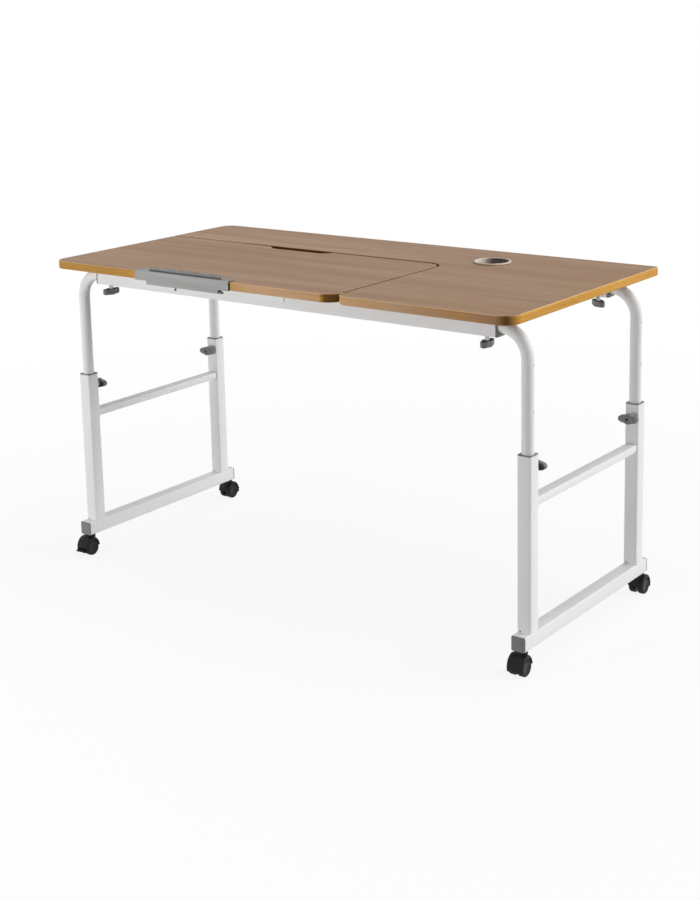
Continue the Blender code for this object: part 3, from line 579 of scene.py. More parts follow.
def inset(line, distance, closed=True):
    """A line moved to its left by a distance, which is inwards for an outline that runs counter-clockwise."""
    moved = []
    for k, here in enumerate(line):
        into = (here - line[k - 1] if closed or k else line[1] - here).normalized()
        ends_here = k == len(line) - 1 and not closed
        away = into if ends_here else (line[(k + 1) % len(line)] - here).normalized()
        left = Vector((-into.y - away.y, into.x + away.x)).normalized()
        share = max(0.35, left.dot(Vector((-into.y, into.x))))
        moved.append(here + left * (distance / share))
    return moved


def folded(path, sheet, radius):
    """The outline of a sheet folded along a path of (y, z) points, its outer side on the path's right."""
    line = corner_outline([(*p, radius if 0 < k < len(path) - 1 else 0.0) for k, p in enumerate(path)])
    return line + inset(line, sheet, False)[::-1]


def bridge(bm, rows, closed=False, kinds=None):
    """Faces between neighbouring rings of points, with finish numbers. A ring of one point makes a tip."""
    pairs = list(zip(rows, rows[1:]))
    if closed:
        pairs.append((rows[-1], rows[0]))
    for place, (first, second) in enumerate(pairs):
        count = max(len(first), len(second))
        for k in range(count):
            n = (k + 1) % count
            corners = [first[k % len(first)], first[n % len(first)]]
            corners += [second[n % len(second)], second[k % len(second)]]
            corners = list(dict.fromkeys(corners))
            if len(corners) > 2:
                bm.faces.new(corners).material_index = kinds[place] if kinds else 0


def stack(outlines, levels):
    """A closed body through rings at (inset, z, finish) levels, low to high, for an outline and its holes.
    Faces between two levels take the finish number of the upper one, and caps take number 0."""
    bm = bmesh.new()
    ends = ([], [])
    for outline in outlines:
        rows = [[bm.verts.new((p.x, p.y, z)) for p in inset(outline, distance)] for distance, z, _ in levels]
        bridge(bm, rows, kinds=[level[2] for level in levels[1:]])
        ends[0].append(rows[0])
        ends[1].append(rows[-1])
    for rows in ends:
        if len(rows) == 1:
            bm.faces.new(rows[0])
            continue
        edges = [bm.edges.get((row[k - 1], row[k])) for row in rows for k in range(len(row))]
        bmesh.ops.triangle_fill(bm, use_beauty=True, use_dissolve=False, edges=edges)
    return bm


def slab(outlines, low, high, radius, steps=3, edge=0, base=None):
    """A plate in Z with rounded arrises, the base's may differ, and a finish number for its edge."""
    rim = 0.0006
    base = radius if base is None else base
    levels = [(base + rim, low, 0)]
    for k, (cosine, sine) in enumerate(quarter(steps)):
        levels.append((base * (1 - sine), low + base * (1 - cosine), edge if k else 0))
    for cosine, sine in quarter(steps):
        levels.append((radius * (1 - cosine), high - radius * (1 - sine), edge))
    return stack(outlines, [*levels, (radius + rim, high, 0)])


def lathe(profile, steps, kinds=None):
    """A body turned round Z from a profile of (radius, z), closed unless it starts or ends on the axis."""
    bm = bmesh.new()
    rows = []
    for radius, z in profile:
        points = circle(radius, steps) if radius > 1e-7 else [Vector((0, 0))]
        rows.append([bm.verts.new((*point, z)) for point in points])
    bridge(bm, rows, len(rows[0]) > 1 and len(rows[-1]) > 1, kinds)
    return bm


def rod(radius, low, high, steps=20):
    """A plain round bar along Z, for cutters and hidden cores."""
    return lathe([(0, low), (radius, low), (radius, high), (0, high)], steps)


def sweep(path, radius, sides, closed=False):
    """A round bar along a path. The radius may be a list, one for each point."""
    points = [Vector(p) for p in path]
    count = len(points)
    radii = radius if isinstance(radius, list) else [radius] * count
    bm = bmesh.new()
    rows = []
    side = None
    for k, here in enumerate(points):
        before = points[k - 1] if closed or k else here
        after = points[(k + 1) % count] if closed or k < count - 1 else here
        along = (after - before).normalized()
        if side is None:
            side = along.orthogonal().normalized()
        side = (side - along * side.dot(along)).normalized()
        other = along.cross(side)
        rows.append([bm.verts.new(here + side * p.x + other * p.y) for p in circle(radii[k], sides)])
    bridge(bm, rows, closed)
    if not closed:
        bm.faces.new(rows[0][::-1])
        bm.faces.new(rows[-1])
    return bm


def joined(*bodies):
    """Puts several bodies in one."""
    whole = bmesh.new()
    for bm in bodies:
        spare = bpy.data.meshes.new("joining")
        bm.to_mesh(spare)
        bm.free()
        whole.from_mesh(spare)
        bpy.data.meshes.remove(spare)
    return whole


def turned(bm, matrix):
    """Moves a body by a matrix."""
    bmesh.ops.transform(bm, matrix=matrix, verts=bm.verts)
    return bm


def plate_rims(node):
    """The outlines of a plate's upper face, the outer one counter-clockwise and holes clockwise."""
    near = 1e-5
    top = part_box(node)[1].z
    bm = bmesh.new()
    bm.from_mesh(frame["nodes"][node].data)
    bmesh.ops.remove_doubles(bm, verts=bm.verts, dist=near)
    bm.normal_update()
    bm.verts.ensure_lookup_table()
    follows = {}
    for edge in bm.edges:
        flat = [face for face in edge.link_faces if face.normal.z > 0.9]
        if len(flat) != 1 or any(abs(v.co.z - top) > near for v in edge.verts):
            continue
        loop = next(loop for loop in edge.link_loops if loop.face is flat[0])
        follows[loop.vert.index] = loop.link_loop_next.vert.index
    outlines = []
    while follows:
        start = here = next(iter(follows))
        outline = []
        while here in follows:
            outline.append(bm.verts[here].co.xy.copy())
            here = follows.pop(here)
        if here != start or len(outline) < 3:
            raise RuntimeError(f"the rim of {node} is not closed")
        outlines.append(outline)
    bm.free()
    return sorted(outlines, key=lambda outline: -max(p.x for p in outline) + min(p.x for p in outline))


def rounder(outline, corner, radius, start):
    """An outline with one corner rounded by a quarter turn from an angle on, the points near it left out."""
    steps = 12
    near = [abs(p.x - corner.x) < radius and abs(p.y - corner.y) < radius for p in outline]
    count = len(outline)
    first = next(k for k in range(count) if near[k] and not near[k - 1])
    kept = [outline[(first + k) % count] for k in range(count) if not near[(first + k) % count]]
    middle = Vector((math.cos(start + math.pi / 4), math.sin(start + math.pi / 4)))
    centre = corner - Vector((math.copysign(radius, middle.x), math.copysign(radius, middle.y)))
    turns = [start + math.pi / 2 * k / steps for k in range(steps + 1)]
    return [centre + radius * Vector((math.cos(turn), math.sin(turn))) for turn in turns] + kept


def square_tube(node, along, rounding):
    """A square tube with rounded corners in a solid's box, along an axis number."""
    low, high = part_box(node)
    size = high - low
    turn, first, second = BAR_TURNS[along]
    half = size[along] / 2
    bm = slab([rectangle(size[first], size[second], rounding)], -half, half, 0.0004, 1)
    return turned(bm, Matrix.Translation((low + high) / 2) @ turn)


def bead(start, end, radius):
    """A weld bead with ripples between two points."""
    start = Vector(start)
    end = Vector(end)
    count = max(6, int((end - start).length / 0.0011))
    path = [start.lerp(end, k / count) for k in range(count + 1)]
    ripples = [1.0 + 0.16 * math.sin(2.2 * k) + 0.05 * math.sin(5.1 * k + 1.0) for k in range(count + 1)]
    radii = [radius * ripple for ripple in ripples]
    radii[0] = radii[-1] = radius * 0.45
    return sweep(path, radii, 8)


# Pieces


def smooth(mesh, sharp):
    """Shades a mesh smooth, apart from edges sharper than an angle in degrees."""
    mesh.shade_smooth()
    mesh.set_sharp_from_angle(angle=math.radians(sharp))
    return mesh


def as_mesh(name, bm, finishes, sharp=SHARP):
    """A smooth-shaded mesh from a body, with its finishes."""
    bmesh.ops.recalc_face_normals(bm, faces=bm.faces)
    mesh = bpy.data.meshes.new(name)
    bm.to_mesh(mesh)
    bm.free()
    for key in finishes:
        mesh.materials.append(finish(key))
    return smooth(mesh, sharp)


def cut_mesh(mesh, cutters, key, sharp=SHARP, solver="EXACT"):
    """Cuts bodies out of a mesh and gives the new mesh. The cut faces take a finish of their own."""
    work = bpy.data.objects.new("cutting", mesh)
    bpy.context.scene.collection.objects.link(work)
    tools = []
    for cutter in cutters:
        tool = bpy.data.objects.new("cutter", as_mesh("cutter", cutter, [key]))
        bpy.context.scene.collection.objects.link(tool)
        tools.append(tool)
        step = work.modifiers.new("cut", "BOOLEAN")
        step.operation = "DIFFERENCE"
        step.solver = solver
        step.material_mode = "TRANSFER"
        step.object = tool
    bpy.context.view_layer.update()
    result = bpy.data.meshes.new_from_object(work.evaluated_get(bpy.context.evaluated_depsgraph_get()))
    if len(result.polygons) < 4:
        raise RuntimeError(f"cutting {mesh.name} left nothing")
    for item in [work, *tools]:
        bpy.data.objects.remove(item)
    result.name = mesh.name
    return smooth(result, sharp)


def piece(name, mesh, body, stands_for=None, matrix=None):
    """Puts a mesh on the desk: it rides on a body and may stand for a solid."""
    item = bpy.data.objects.new(name, mesh)
    bpy.context.scene.collection.objects.link(item)
    if matrix is not None:
        item.matrix_world = matrix
    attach(item, body)
    if stands_for:
        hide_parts(stands_for)


def make(name, bm, finishes, body, stands_for=None, matrix=None, sharp=SHARP):
    """Puts a body on the desk as a piece with a mesh of its own."""
    piece(name, as_mesh(name, bm, finishes, sharp), body, stands_for, matrix)


def dress(node, key):
    """Gives a solid that is shown as it is a finish."""
    item = frame["nodes"][node]
    if not item.material_slots:
        raise RuntimeError(f"{node} has no material slot")
    for slot in item.material_slots:
        slot.material = finish(key)


def screw_mesh(radius):
    """A domed screw head with a cross recess, its seat on z = 0."""
    rise = radius * 0.62
    sunk = -0.0004
    profile = [(0, sunk), (radius * 0.96, sunk), (radius, rise * 0.16)]
    profile += [(radius * cosine, rise * (0.16 + 0.84 * sine)) for cosine, sine in quarter(5)[1:]]
    profile[-1] = (0, profile[-1][1])
    cutters = []
    for degrees in (0, 90):
        slot = slab([rectangle(radius * 1.15, radius * 0.26, 0.0001, 1)], rise * 0.45, rise * 2.0, 0.00005, 1)
        cutters.append(turned(slot, at((0, 0, 0), degrees)))
    return cut_mesh(as_mesh("screw_head", lathe(profile, 24), ["steel"]), cutters, "hollow")


class DESK_OT_boards(Operator):
    """Make the fixed board and the tilting board with laminate faces and edge bands"""

    bl_idname = "desk.boards"
    bl_label = "Boards"

    def execute(self, context):
        sizes = context.scene.desk_sizes
        low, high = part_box("tilt_panel")
        outer, *holes = plate_rims("fixed_top")
        near_front = low.y + 0.05
        left = min(p.x for p in outer if p.y < near_front)
        outer = rounder(outer, Vector((left, low.y)), sizes.fixed_corner, math.pi)
        outer = rounder(outer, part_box("fixed_top")[1].xy, sizes.rear_corner, 0.0)
        panel, *slots = plate_rims("tilt_panel")
        panel = rounder(panel, Vector((high.x, low.y)), sizes.panel_corner, -math.pi / 2)
        share = [1 - sizes.seam_trim / (high[k] - low[k]) for k in range(2)]
        panel = [Vector([low[k] + share[k] * (p[k] - low[k]) for k in range(2)]) for p in panel]
        for name, node, body, rims, step in (
            ("fixed_board", "fixed_top", "top", [outer, *holes], 0.0),
            ("tilting_board", "tilt_panel", "panel", [panel, *slots], sizes.board_step),
        ):
            low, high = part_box(node)
            bm = slab(rims, low.z, high.z - step, sizes.arris, 3, 1)
            make(name, bm, ["laminate", "band"], body, node)
        return {"FINISHED"}


class DESK_OT_cup_ring(Operator):
    """Turn the cup ring with its rounded rim and skirt"""

    bl_idname = "desk.cup_ring"
    bl_label = "Cup ring"

    def execute(self, context):
        low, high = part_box("cup_ring")
        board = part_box("fixed_top")[1].z
        outer = (high.x - low.x) / 2
        inner = outer - context.scene.desk_sizes.ring_wall
        skirt = (inner + outer) / 2 - 0.0008
        bevel = 0.0006
        outer_round = 0.0024
        inner_round = 0.0020
        seat = board + 0.0003
        shoulder = seat + 0.0004
        profile = [(inner, low.z + bevel), (inner + bevel, low.z), (skirt - bevel, low.z)]
        profile += [(skirt, low.z + bevel), (skirt, seat), (outer - 0.0003, seat), (outer, shoulder)]
        for cosine, sine in quarter(6)[1:]:
            profile.append((outer - outer_round * (1 - cosine), shoulder + (high.z - shoulder) * sine))
        for cosine, sine in quarter(6):
            profile.append((inner + inner_round * (1 - sine), high.z - inner_round * (1 - cosine)))
        bm = lathe([(radius, z - board) for radius, z in profile], 96)
        middle = (low + high) / 2
        place = at((middle.x, middle.y, board))
        make("cup_grommet", bm, ["cream"], "top", "cup_ring", place)
        return {"FINISHED"}


class DESK_OT_tubes(Operator):
    """Bend the four round tubes and drill their index holes"""

    bl_idname = "desk.tubes"
    bl_label = "Bent tubes"

    def execute(self, context):
        sizes = context.scene.desk_sizes
        bend = sizes.tube_bend
        hole_depth = 0.003
        hole_count = 2
        clear = 0.004
        for corner, word, side, _ in CORNERS:
            node = corner + "_bent_tube"
            low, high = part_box(node)
            radius = (high.y - low.y) / 2
            y = (low.y + high.y) / 2
            arm = high.z - radius
            leg = high.x - radius if side > 0 else low.x + radius
            inner = low.x if side > 0 else high.x
            turn_x = leg - side * bend
            path = [(inner, y, arm), ((inner + turn_x) / 2, y, arm)]
            for cosine, sine in quarter(24):
                path.append((turn_x + side * bend * sine, y, arm - bend * (1 - cosine)))
            path.append((leg, y, low.z))
            mesh = as_mesh(corner + "_tube", sweep(path, radius, 36), ["powder"])
            aim = Vector((side * math.cos(sizes.hole_turn), -math.sin(sizes.hole_turn), 0))
            cutters = []
            for k in range(hole_count):
                place = (leg, y, arm - sizes.hole_drop - k * sizes.hole_pitch)
                hole = rod(sizes.tube_hole / 2, radius - hole_depth, radius + clear, 16)
                cutters.append(turned(hole, facing(place, aim)))
            mesh = cut_mesh(mesh, cutters, "hollow")
            piece(corner + "_tube", mesh, word + "_tubes", node)
        return {"FINISHED"}


class DESK_OT_leg_frames(Operator):
    """Make the posts, foot beams and tie bars of the two leg frames, with welds and drain holes"""

    bl_idname = "desk.leg_frames"
    bl_label = "Leg frames"

    def execute(self, context):
        sizes = context.scene.desk_sizes
        inside = sizes.tube_corner * 0.6
        thin = sizes.weld * 0.9
        hole_shift = 0.008
        hole_rise = 0.0022
        hole_depth = 0.004
        for _, word in SIDES:
            body = word + "_leg"
            for solid, name in (("_foot_rail", "_foot_beam"), ("_crossbar", "_tie_bar")):
                bm = square_tube(word + solid, 1, sizes.tube_corner)
                make(word + name, bm, ["powder"], body, word + solid)
            foot_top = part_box(word + "_foot_rail")[1].z
            bar_low, bar_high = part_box(word + "_crossbar")
            beads = []
            for end, end_word in ENDS:
                node = f"{end_word}_{word}_upright"
                name = f"{end_word}_{word}_post"
                low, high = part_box(node)
                place = ((low.x + high.x) / 2 - hole_shift, low.y, foot_top + hole_rise)
                hole = rod(sizes.drain_hole / 2, -hole_depth, hole_depth, 14)
                turned(hole, facing(place, (0, -1, 0)))
                mesh = as_mesh(name, square_tube(node, 2, sizes.tube_corner), ["powder"])
                piece(name, cut_mesh(mesh, [hole], "hollow"), body, node)
                left, right = low.x + inside, high.x - inside
                for y in (low.y, high.y):
                    beads.append(bead((left, y, foot_top), (right, y, foot_top), sizes.weld))
                y = bar_low.y if end < 0 else bar_high.y
                for z in (bar_low.z, bar_high.z):
                    beads.append(bead((bar_low.x + inside, y, z), (bar_high.x - inside, y, z), thin))
                for x in (bar_low.x, bar_high.x):
                    beads.append(bead((x, y, bar_low.z + inside), (x, y, bar_high.z - inside), thin))
            welds = joined(*beads)
            make(word + "_leg_welds", welds, ["powder"], body, sharp=60.0)
        return {"FINISHED"}


class DESK_OT_beams(Operator):
    """Make the front and rear beams under the top and dress the support rails between them"""

    bl_idname = "desk.beams"
    bl_label = "Beams"

    def execute(self, context):
        sizes = context.scene.desk_sizes
        for _, word in ENDS:
            bm = square_tube(word + "_apron", 0, sizes.tube_corner)
            make(word + "_beam", bm, ["powder"], "top", word + "_apron")
        beads = []
        for _, word in SIDES:
            dress(word + "_support_rail", "powder")
            low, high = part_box(word + "_support_rail")
            foot, head = low.z + 0.001, low.z + 0.022
            for y in (low.y, high.y):
                for x in (low.x, high.x):
                    beads.append(bead((x, y, foot), (x, y, head), sizes.weld))
                beads.append(bead((low.x, y, low.z), (high.x, y, low.z), sizes.weld))
        make("beam_welds", joined(*beads), ["powder"], "top", sharp=60.0)
        return {"FINISHED"}


class DESK_OT_collars(Operator):
    """Mould the plastic collars of the beams and posts and the end caps of the foot beams"""

    bl_idname = "desk.collars"
    bl_label = "Collars and end caps"

    def collar(self, width, height, lip, bore):
        """A lip and a plug with a bore along Z, the lip's seat on z = 0."""
        depth = 0.040
        wall = 0.0016
        hole = [Vector((p.x, -p.y)) for p in circle(bore / 2, 40)]
        cover = slab([rectangle(width, height, 0.0024), hole], 0.0, lip, min(0.0006, lip * 0.3), 2)
        outline = rectangle(width - 2 * wall, height - 2 * wall, 0.002, 3)
        return joined(cover, slab([outline, hole], -depth, -0.0001, 0.0003, 1))

    def end_cap(self, width, height, depth, lip):
        """A lip with a raised panel, and a plug behind it along -Z, the lip's seat on z = 0."""
        cover = slab([rectangle(width, height, 0.0026, 5)], 0.0, lip - 0.0003, 0.0010, 3, base=0.0003)
        margin = 0.0084
        panel = slab([rectangle(width - margin, height - margin, 0.0012, 3)], lip - 0.0006, lip, 0.0003, 2)
        margin = 0.0034
        plug = slab([rectangle(width - margin, height - margin, 0.0012, 3)], lip - depth, -0.0001, 0.0003, 1)
        return joined(cover, panel, plug)

    def execute(self, context):
        sizes = context.scene.desk_sizes
        for corner, word, side, end in CORNERS:
            low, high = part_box(corner + "_leg_sleeve")
            middle = (low + high) / 2
            bm = self.collar(high.x - low.x, high.y - low.y, sizes.collar_lip, sizes.collar_bore)
            turned(bm, at((middle.x, middle.y, high.z - sizes.collar_lip)))
            make(corner + "_post_collar", bm, ["grey"], word + "_leg", corner + "_leg_sleeve")

            low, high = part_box(corner + "_apron_sleeve")
            middle = (low + high) / 2
            bm = self.collar(high.z - low.z, high.y - low.y, sizes.beam_lip, sizes.collar_bore)
            x = high.x - sizes.beam_lip if side > 0 else low.x + sizes.beam_lip
            turned(bm, at((x, middle.y, middle.z), 90 * side, "Y"))
            make(corner + "_beam_collar", bm, ["grey"], "top", corner + "_apron_sleeve")

            low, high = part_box(corner + "_foot_cap")
            middle = (low + high) / 2
            bm = self.end_cap(high.x - low.x, high.z - low.z, high.y - low.y, sizes.cap_lip)
            y = high.y - sizes.cap_lip if end > 0 else low.y + sizes.cap_lip
            turned(bm, at((middle.x, y, middle.z), -90 * end, "X"))
            make(corner + "_end_cap", bm, ["grey"], word + "_leg", corner + "_foot_cap")
        return {"FINISHED"}


class DESK_OT_knobs(Operator):
    """Mould the eight two-winged clamping knobs, hollow behind, with fluted collars and steel stems"""

    bl_idname = "desk.knobs"
    bl_label = "Knobs"

    # How far the knobs under the beams are turned, in degrees
    turns = {"front_left": 86, "front_right": 95, "rear_left": 25, "rear_right": -35}

    def wings(self, low, top, floor):
        """The two wings, hollow from below up to a floor."""
        sizes = bpy.context.scene.desk_sizes
        count = 72
        power = 2.8
        outline = []
        for way in circle(1.0, count):
            along = (abs(way.x) / (sizes.knob_length / 2)) ** power
            across = (abs(way.y) / (sizes.knob_width / 2)) ** power
            outline.append(way * max((along + across) ** (-1 / power), sizes.knob_hub / 2))
        for _ in range(2):
            outline = [(outline[k - 1] + 2 * outline[k] + outline[(k + 1) % count]) / 4 for k in range(count)]
        wall = sizes.knob_wall
        bevel = 0.0006
        rounding = 0.0032
        crown = top - 0.0007
        levels = [(wall + 0.0010, floor), (wall + 0.0004, floor - bevel), (wall, low + bevel)]
        levels += [(wall - 0.0005, low), (bevel, low), (0.0, low + bevel)]
        levels.append((0.0, low + 0.45 * sizes.knob_thick))
        for cosine, sine in quarter(5):
            levels.append((rounding * (1 - cosine), crown - rounding * (1 - sine)))
        levels.append((0.0042, crown))
        return stack([outline], [(*level, 0) for level in levels])

    def knob(self, name, stem, neck, slim=1.0):
        """A knob along +Z, its seat on z = 0, with a finish number for its neck."""
        sizes = bpy.context.scene.desk_sizes
        low = sizes.knob_collar
        top = low + sizes.knob_thick
        floor = low + 0.62 * sizes.knob_thick
        hub = [(0.0, top - 0.0005), (0.0027, top - 0.0005), (0.0029, top - 0.0003), (0.0036, top)]
        hub += [(0.0076, top), (0.0084, top - 0.0006), (0.0086, top - 0.0030), (0.0, top - 0.0060)]
        profile = [(0.0, floor + 0.0005), (0.0090, floor + 0.0005), (0.0084 * slim, floor - 0.0020)]
        profile += [(0.0076 * slim, low), (0.0073 * slim, 0.0012), (0.0066 * slim, 0.0004), (0.0, 0.0004)]
        collar = lathe(profile, 36, [0, 0, 0, neck, neck, neck])
        for vert in collar.verts:
            if vert.co.xy.length > 0.007 * slim and 0.001 < vert.co.z < floor:
                grow = 1.0 + 0.030 * math.cos(12 * math.atan2(vert.co.y, vert.co.x))
                vert.co.x *= grow
                vert.co.y *= grow
        pitch = 0.0004
        crest, root = 0.0029, 0.0025
        thread = [(crest if k % 2 else root, pitch - pitch * k) for k in range(int((stem + pitch) / pitch))]
        shaft = lathe([(0.0, 0.0015), (crest, 0.0015), *thread, (0.0, thread[-1][1])], 16)
        for face in shaft.faces:
            face.material_index = 1
        head = lathe(hub, 40, [2, 2, 0, 0, 0, 0, 0])
        whole = joined(self.wings(low, top, floor), head, collar, shaft)
        return as_mesh(name, whole, ["grey", "steel", "black", "powder"], 42.0)

    def execute(self, context):
        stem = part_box("front_left_apron_knob")[1].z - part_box("front_apron")[0].z
        beam_mesh = self.knob("beam_wing_knob", stem, 1, 0.6)
        post_mesh = self.knob("post_wing_knob", 0.0015, 3)
        for corner, _, _, end in CORNERS:
            body = corner + "_apron_knob"
            matrix = at(JOINTS[body + "_turn"], self.turns[corner]) @ at((0, 0, 0), 180, "X")
            piece(corner + "_beam_wing_knob", beam_mesh, body, body, matrix)
            body = corner + "_leg_knob"
            matrix = at(JOINTS[body + "_turn"], 90 * end, "X")
            piece(corner + "_post_wing_knob", post_mesh, body, body, matrix)
        return {"FINISHED"}


class DESK_OT_casters(Operator):
    """Make the four twin-wheel casters: hoods, wheels with treads, and the brake levers"""

    bl_idname = "desk.casters"
    bl_label = "Casters"

    def hood(self, axle, half_width, wheel, lever=None):
        """A hood, its swivel seat on z = 0 and the wheels' axle at a place. A lever's place adds two ears."""
        reach = wheel + 0.003
        rise = 0.0255
        hollow = wheel - 0.005
        boss = 0.0056
        place = (0, axle.y, axle.z)

        def point(radius, degrees, tall):
            turn = math.radians(degrees)
            return Vector((radius * math.cos(turn), tall * math.sin(turn)))

        outline = [point(reach, 5 + 5 * k, rise if k < 35 else reach) for k in range(40)]
        inside = ((hollow, 201), (boss, 240), (boss, 270), (boss, 300), (hollow, 4))
        outline += [point(radius, degrees, radius) for radius, degrees in inside]
        shell = slab([outline], -half_width, half_width, bpy.context.scene.desk_sizes.hood_rounding, 4)
        mesh = as_mesh("caster_body", turned(shell, at(place) @ SIDEWAYS), ["black"])
        rooms = []
        for sign in (-1, 1):
            room = rod(wheel + 0.001, 0.0036, half_width + 0.01, 56)
            rooms.append(turned(room, at(place, 90 * sign, "Y")))
        mesh = cut_mesh(mesh, rooms, "black", 30.0, "MANIFOLD")
        base = axle.z + 0.006
        neck = [(0.0, base), (0.0125, base), (0.0130, -0.0075), (0.0130, -0.0030)]
        neck += [(0.0122, -0.0022), (0.0122, -0.0008), (0.0118, -0.0004), (0.0, -0.0004)]
        seam = [(0.0, axle.y + p.x, axle.z + p.y) for p in inset(outline, 0.0002)[1:39]]
        core = rod(0.003, 0.004 - half_width, half_width - 0.004)
        extra = [lathe(neck, 40), sweep(seam, 0.0006, 6), turned(core, at(place, 90, "Y"))]
        ear_reach = 0.0091
        ear_half = 0.0014
        for sign in (-1, 1) if lever else ():
            ear = slab([rectangle(0.0085, 0.0075, 0.0022)], -ear_half, ear_half, 0.0004, 2)
            extra.append(turned(ear, at((sign * ear_reach, lever.y + 0.0013, lever.z)) @ SIDEWAYS))
        whole = joined(*extra)
        whole.from_mesh(mesh)
        return as_mesh("caster_body", whole, ["black"], 34.0)

    def wheel(self, radius, width):
        """A wheel along +Z: tread with a groove, plain outer face with a shallow dish."""
        bore = 0.0034
        groove = radius - 0.0005
        back = width - 0.0030
        profile = [(bore, 0.0), (radius - 0.0016, 0.0), (radius - 0.0004, 0.0006), (radius, 0.0018)]
        profile += [(radius, width * 0.40), (groove, width * 0.43), (groove, width * 0.47)]
        profile += [(radius, width * 0.50), (radius, width - 0.0026), (radius - 0.0005, width - 0.0012)]
        profile += [(radius - 0.0016, width - 0.0003), (radius - 0.0028, width), (radius * 0.62, width)]
        profile += [(radius * 0.58, width - 0.0003), (0.0, width - 0.0005), (0.0, back), (bore, back)]
        kinds = [1 if 0 < k < 12 else 0 for k in range(len(profile))]
        return as_mesh("roller", lathe(profile, 60, kinds), ["black", "tread"], 30.0)

    def lever(self, width):
        """A brake lever round X, its ribbed tread towards -Y."""
        half = width / 2
        parts = []
        for radius, reach, steps in ((0.0026, half, 24), (0.0014, half + 0.0026, 14)):
            parts.append(turned(rod(radius, -reach, reach, steps), at((0, 0, 0), 90, "Y")))
        plate = slab([rectangle(width, 0.009, 0.0022)], -0.0012, 0.0014, 0.0006, 3)
        parts.append(turned(plate, at((0, -0.0055, 0))))
        first_rib, pitch = -0.0045, 0.0019
        for k in range(3):
            rib = slab([rectangle(width - 0.003, 0.0009, 0.0003, 2)], 0.0010, 0.0016, 0.0002, 1)
            parts.append(turned(rib, at((0, first_rib - pitch * k, 0))))
        return as_mesh("brake_lever", joined(*parts), ["black"], 36.0)

    def execute(self, context):
        swivel = JOINTS["front_left_swivel"]
        axle = JOINTS["front_left_inner_wheel_roll"] - swivel
        pivot = JOINTS["front_left_brake_press"] - swivel
        low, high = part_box("front_left_outer_wheel")
        radius = (high.z - low.z) / 2
        width = high.x - low.x
        gap = abs(max((low.x, high.x), key=abs) - swivel.x) - width
        hood_low, hood_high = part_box("front_left_caster_hood")
        half = (hood_high.x - hood_low.x) / 2
        hoods = {-1: self.hood(axle, half, radius, pivot), 1: self.hood(axle, half, radius)}
        roller = self.wheel(radius, width)
        lever_width = 0.0146
        lever_tilt = -10
        lever = self.lever(lever_width)
        for corner, _, side, end in CORNERS:
            turn = 180 if end > 0 else 0
            body = corner + "_caster"
            matrix = at(JOINTS[corner + "_swivel"], turn)
            piece(body + "_body", hoods[side], body, body + "_hood", matrix)
            for half_side, word in ((-side, "inner"), (side, "outer")):
                body = f"{corner}_{word}_wheel"
                place = JOINTS[body + "_roll"] + Vector((half_side * gap, 0, 0))
                matrix = at(place, 90 * half_side, "Y")
                piece(f"{corner}_{word}_roller", roller, body, body, matrix)
            if side < 0:
                body = corner + "_brake"
                matrix = at(JOINTS[body + "_press"], turn) @ at((0, 0, 0), lever_tilt, "X")
                piece(body + "_lever", lever, body, body + "_pedal", matrix)
        return {"FINISHED"}


class DESK_OT_tilt_hardware(Operator):
    """Dress the panel hinge and bracket, bend the prop and drive the screws"""

    bl_idname = "desk.tilt_hardware"
    bl_label = "Tilt hardware"

    def execute(self, context):
        dress("hinge_fixed_leaf", "powder")
        dress("hinge_panel_leaf", "zinc")
        dress("hinge_pin", "steel")
        dress("prop_bracket", "zinc")
        low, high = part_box("prop_stay")
        radius = (high.z - low.z) / 2
        left, right = low.x + radius, high.x - radius
        front, rear = low.y + radius, high.y - radius
        bend = 0.010
        corners = [(x, y, bend) for x, y in ((left, front), (right, front), (right, rear), (left, rear))]
        path = [(p.x, p.y, (low.z + high.z) / 2) for p in corner_outline(corners, 8)]
        loop = sweep(path, radius, 20, True)
        make("prop_loop", loop, ["steel"], "prop", "prop_stay", sharp=60.0)

        screw = screw_mesh(0.0031)
        count = 6
        leaf, bracket = 0.0018, 0.0020
        from_edge, from_end, from_middle = 0.012, 0.009, 0.020
        low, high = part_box("hinge_fixed_leaf")
        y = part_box("hinge_panel_leaf")[0].y + from_edge
        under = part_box("tilt_panel")[0].z - leaf
        spots = [(low.x + (high.x - low.x) * (k + 0.5) / count, y, under) for k in range(count)]
        names = [f"panel_leaf_screw_{k + 1}" for k in range(count)]
        low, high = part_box("prop_bracket")
        middle = (low + high) / 2
        places = (low.x + from_end, middle.x - from_middle, middle.x + from_middle, high.x - from_end)
        for k, x in enumerate(places):
            spots.append((x, middle.y, high.z - bracket))
            names.append(f"bracket_screw_{k + 1}")
        for name, spot in zip(names, spots):
            piece(name, screw, "panel", matrix=facing(spot, DOWN))
        return {"FINISHED"}


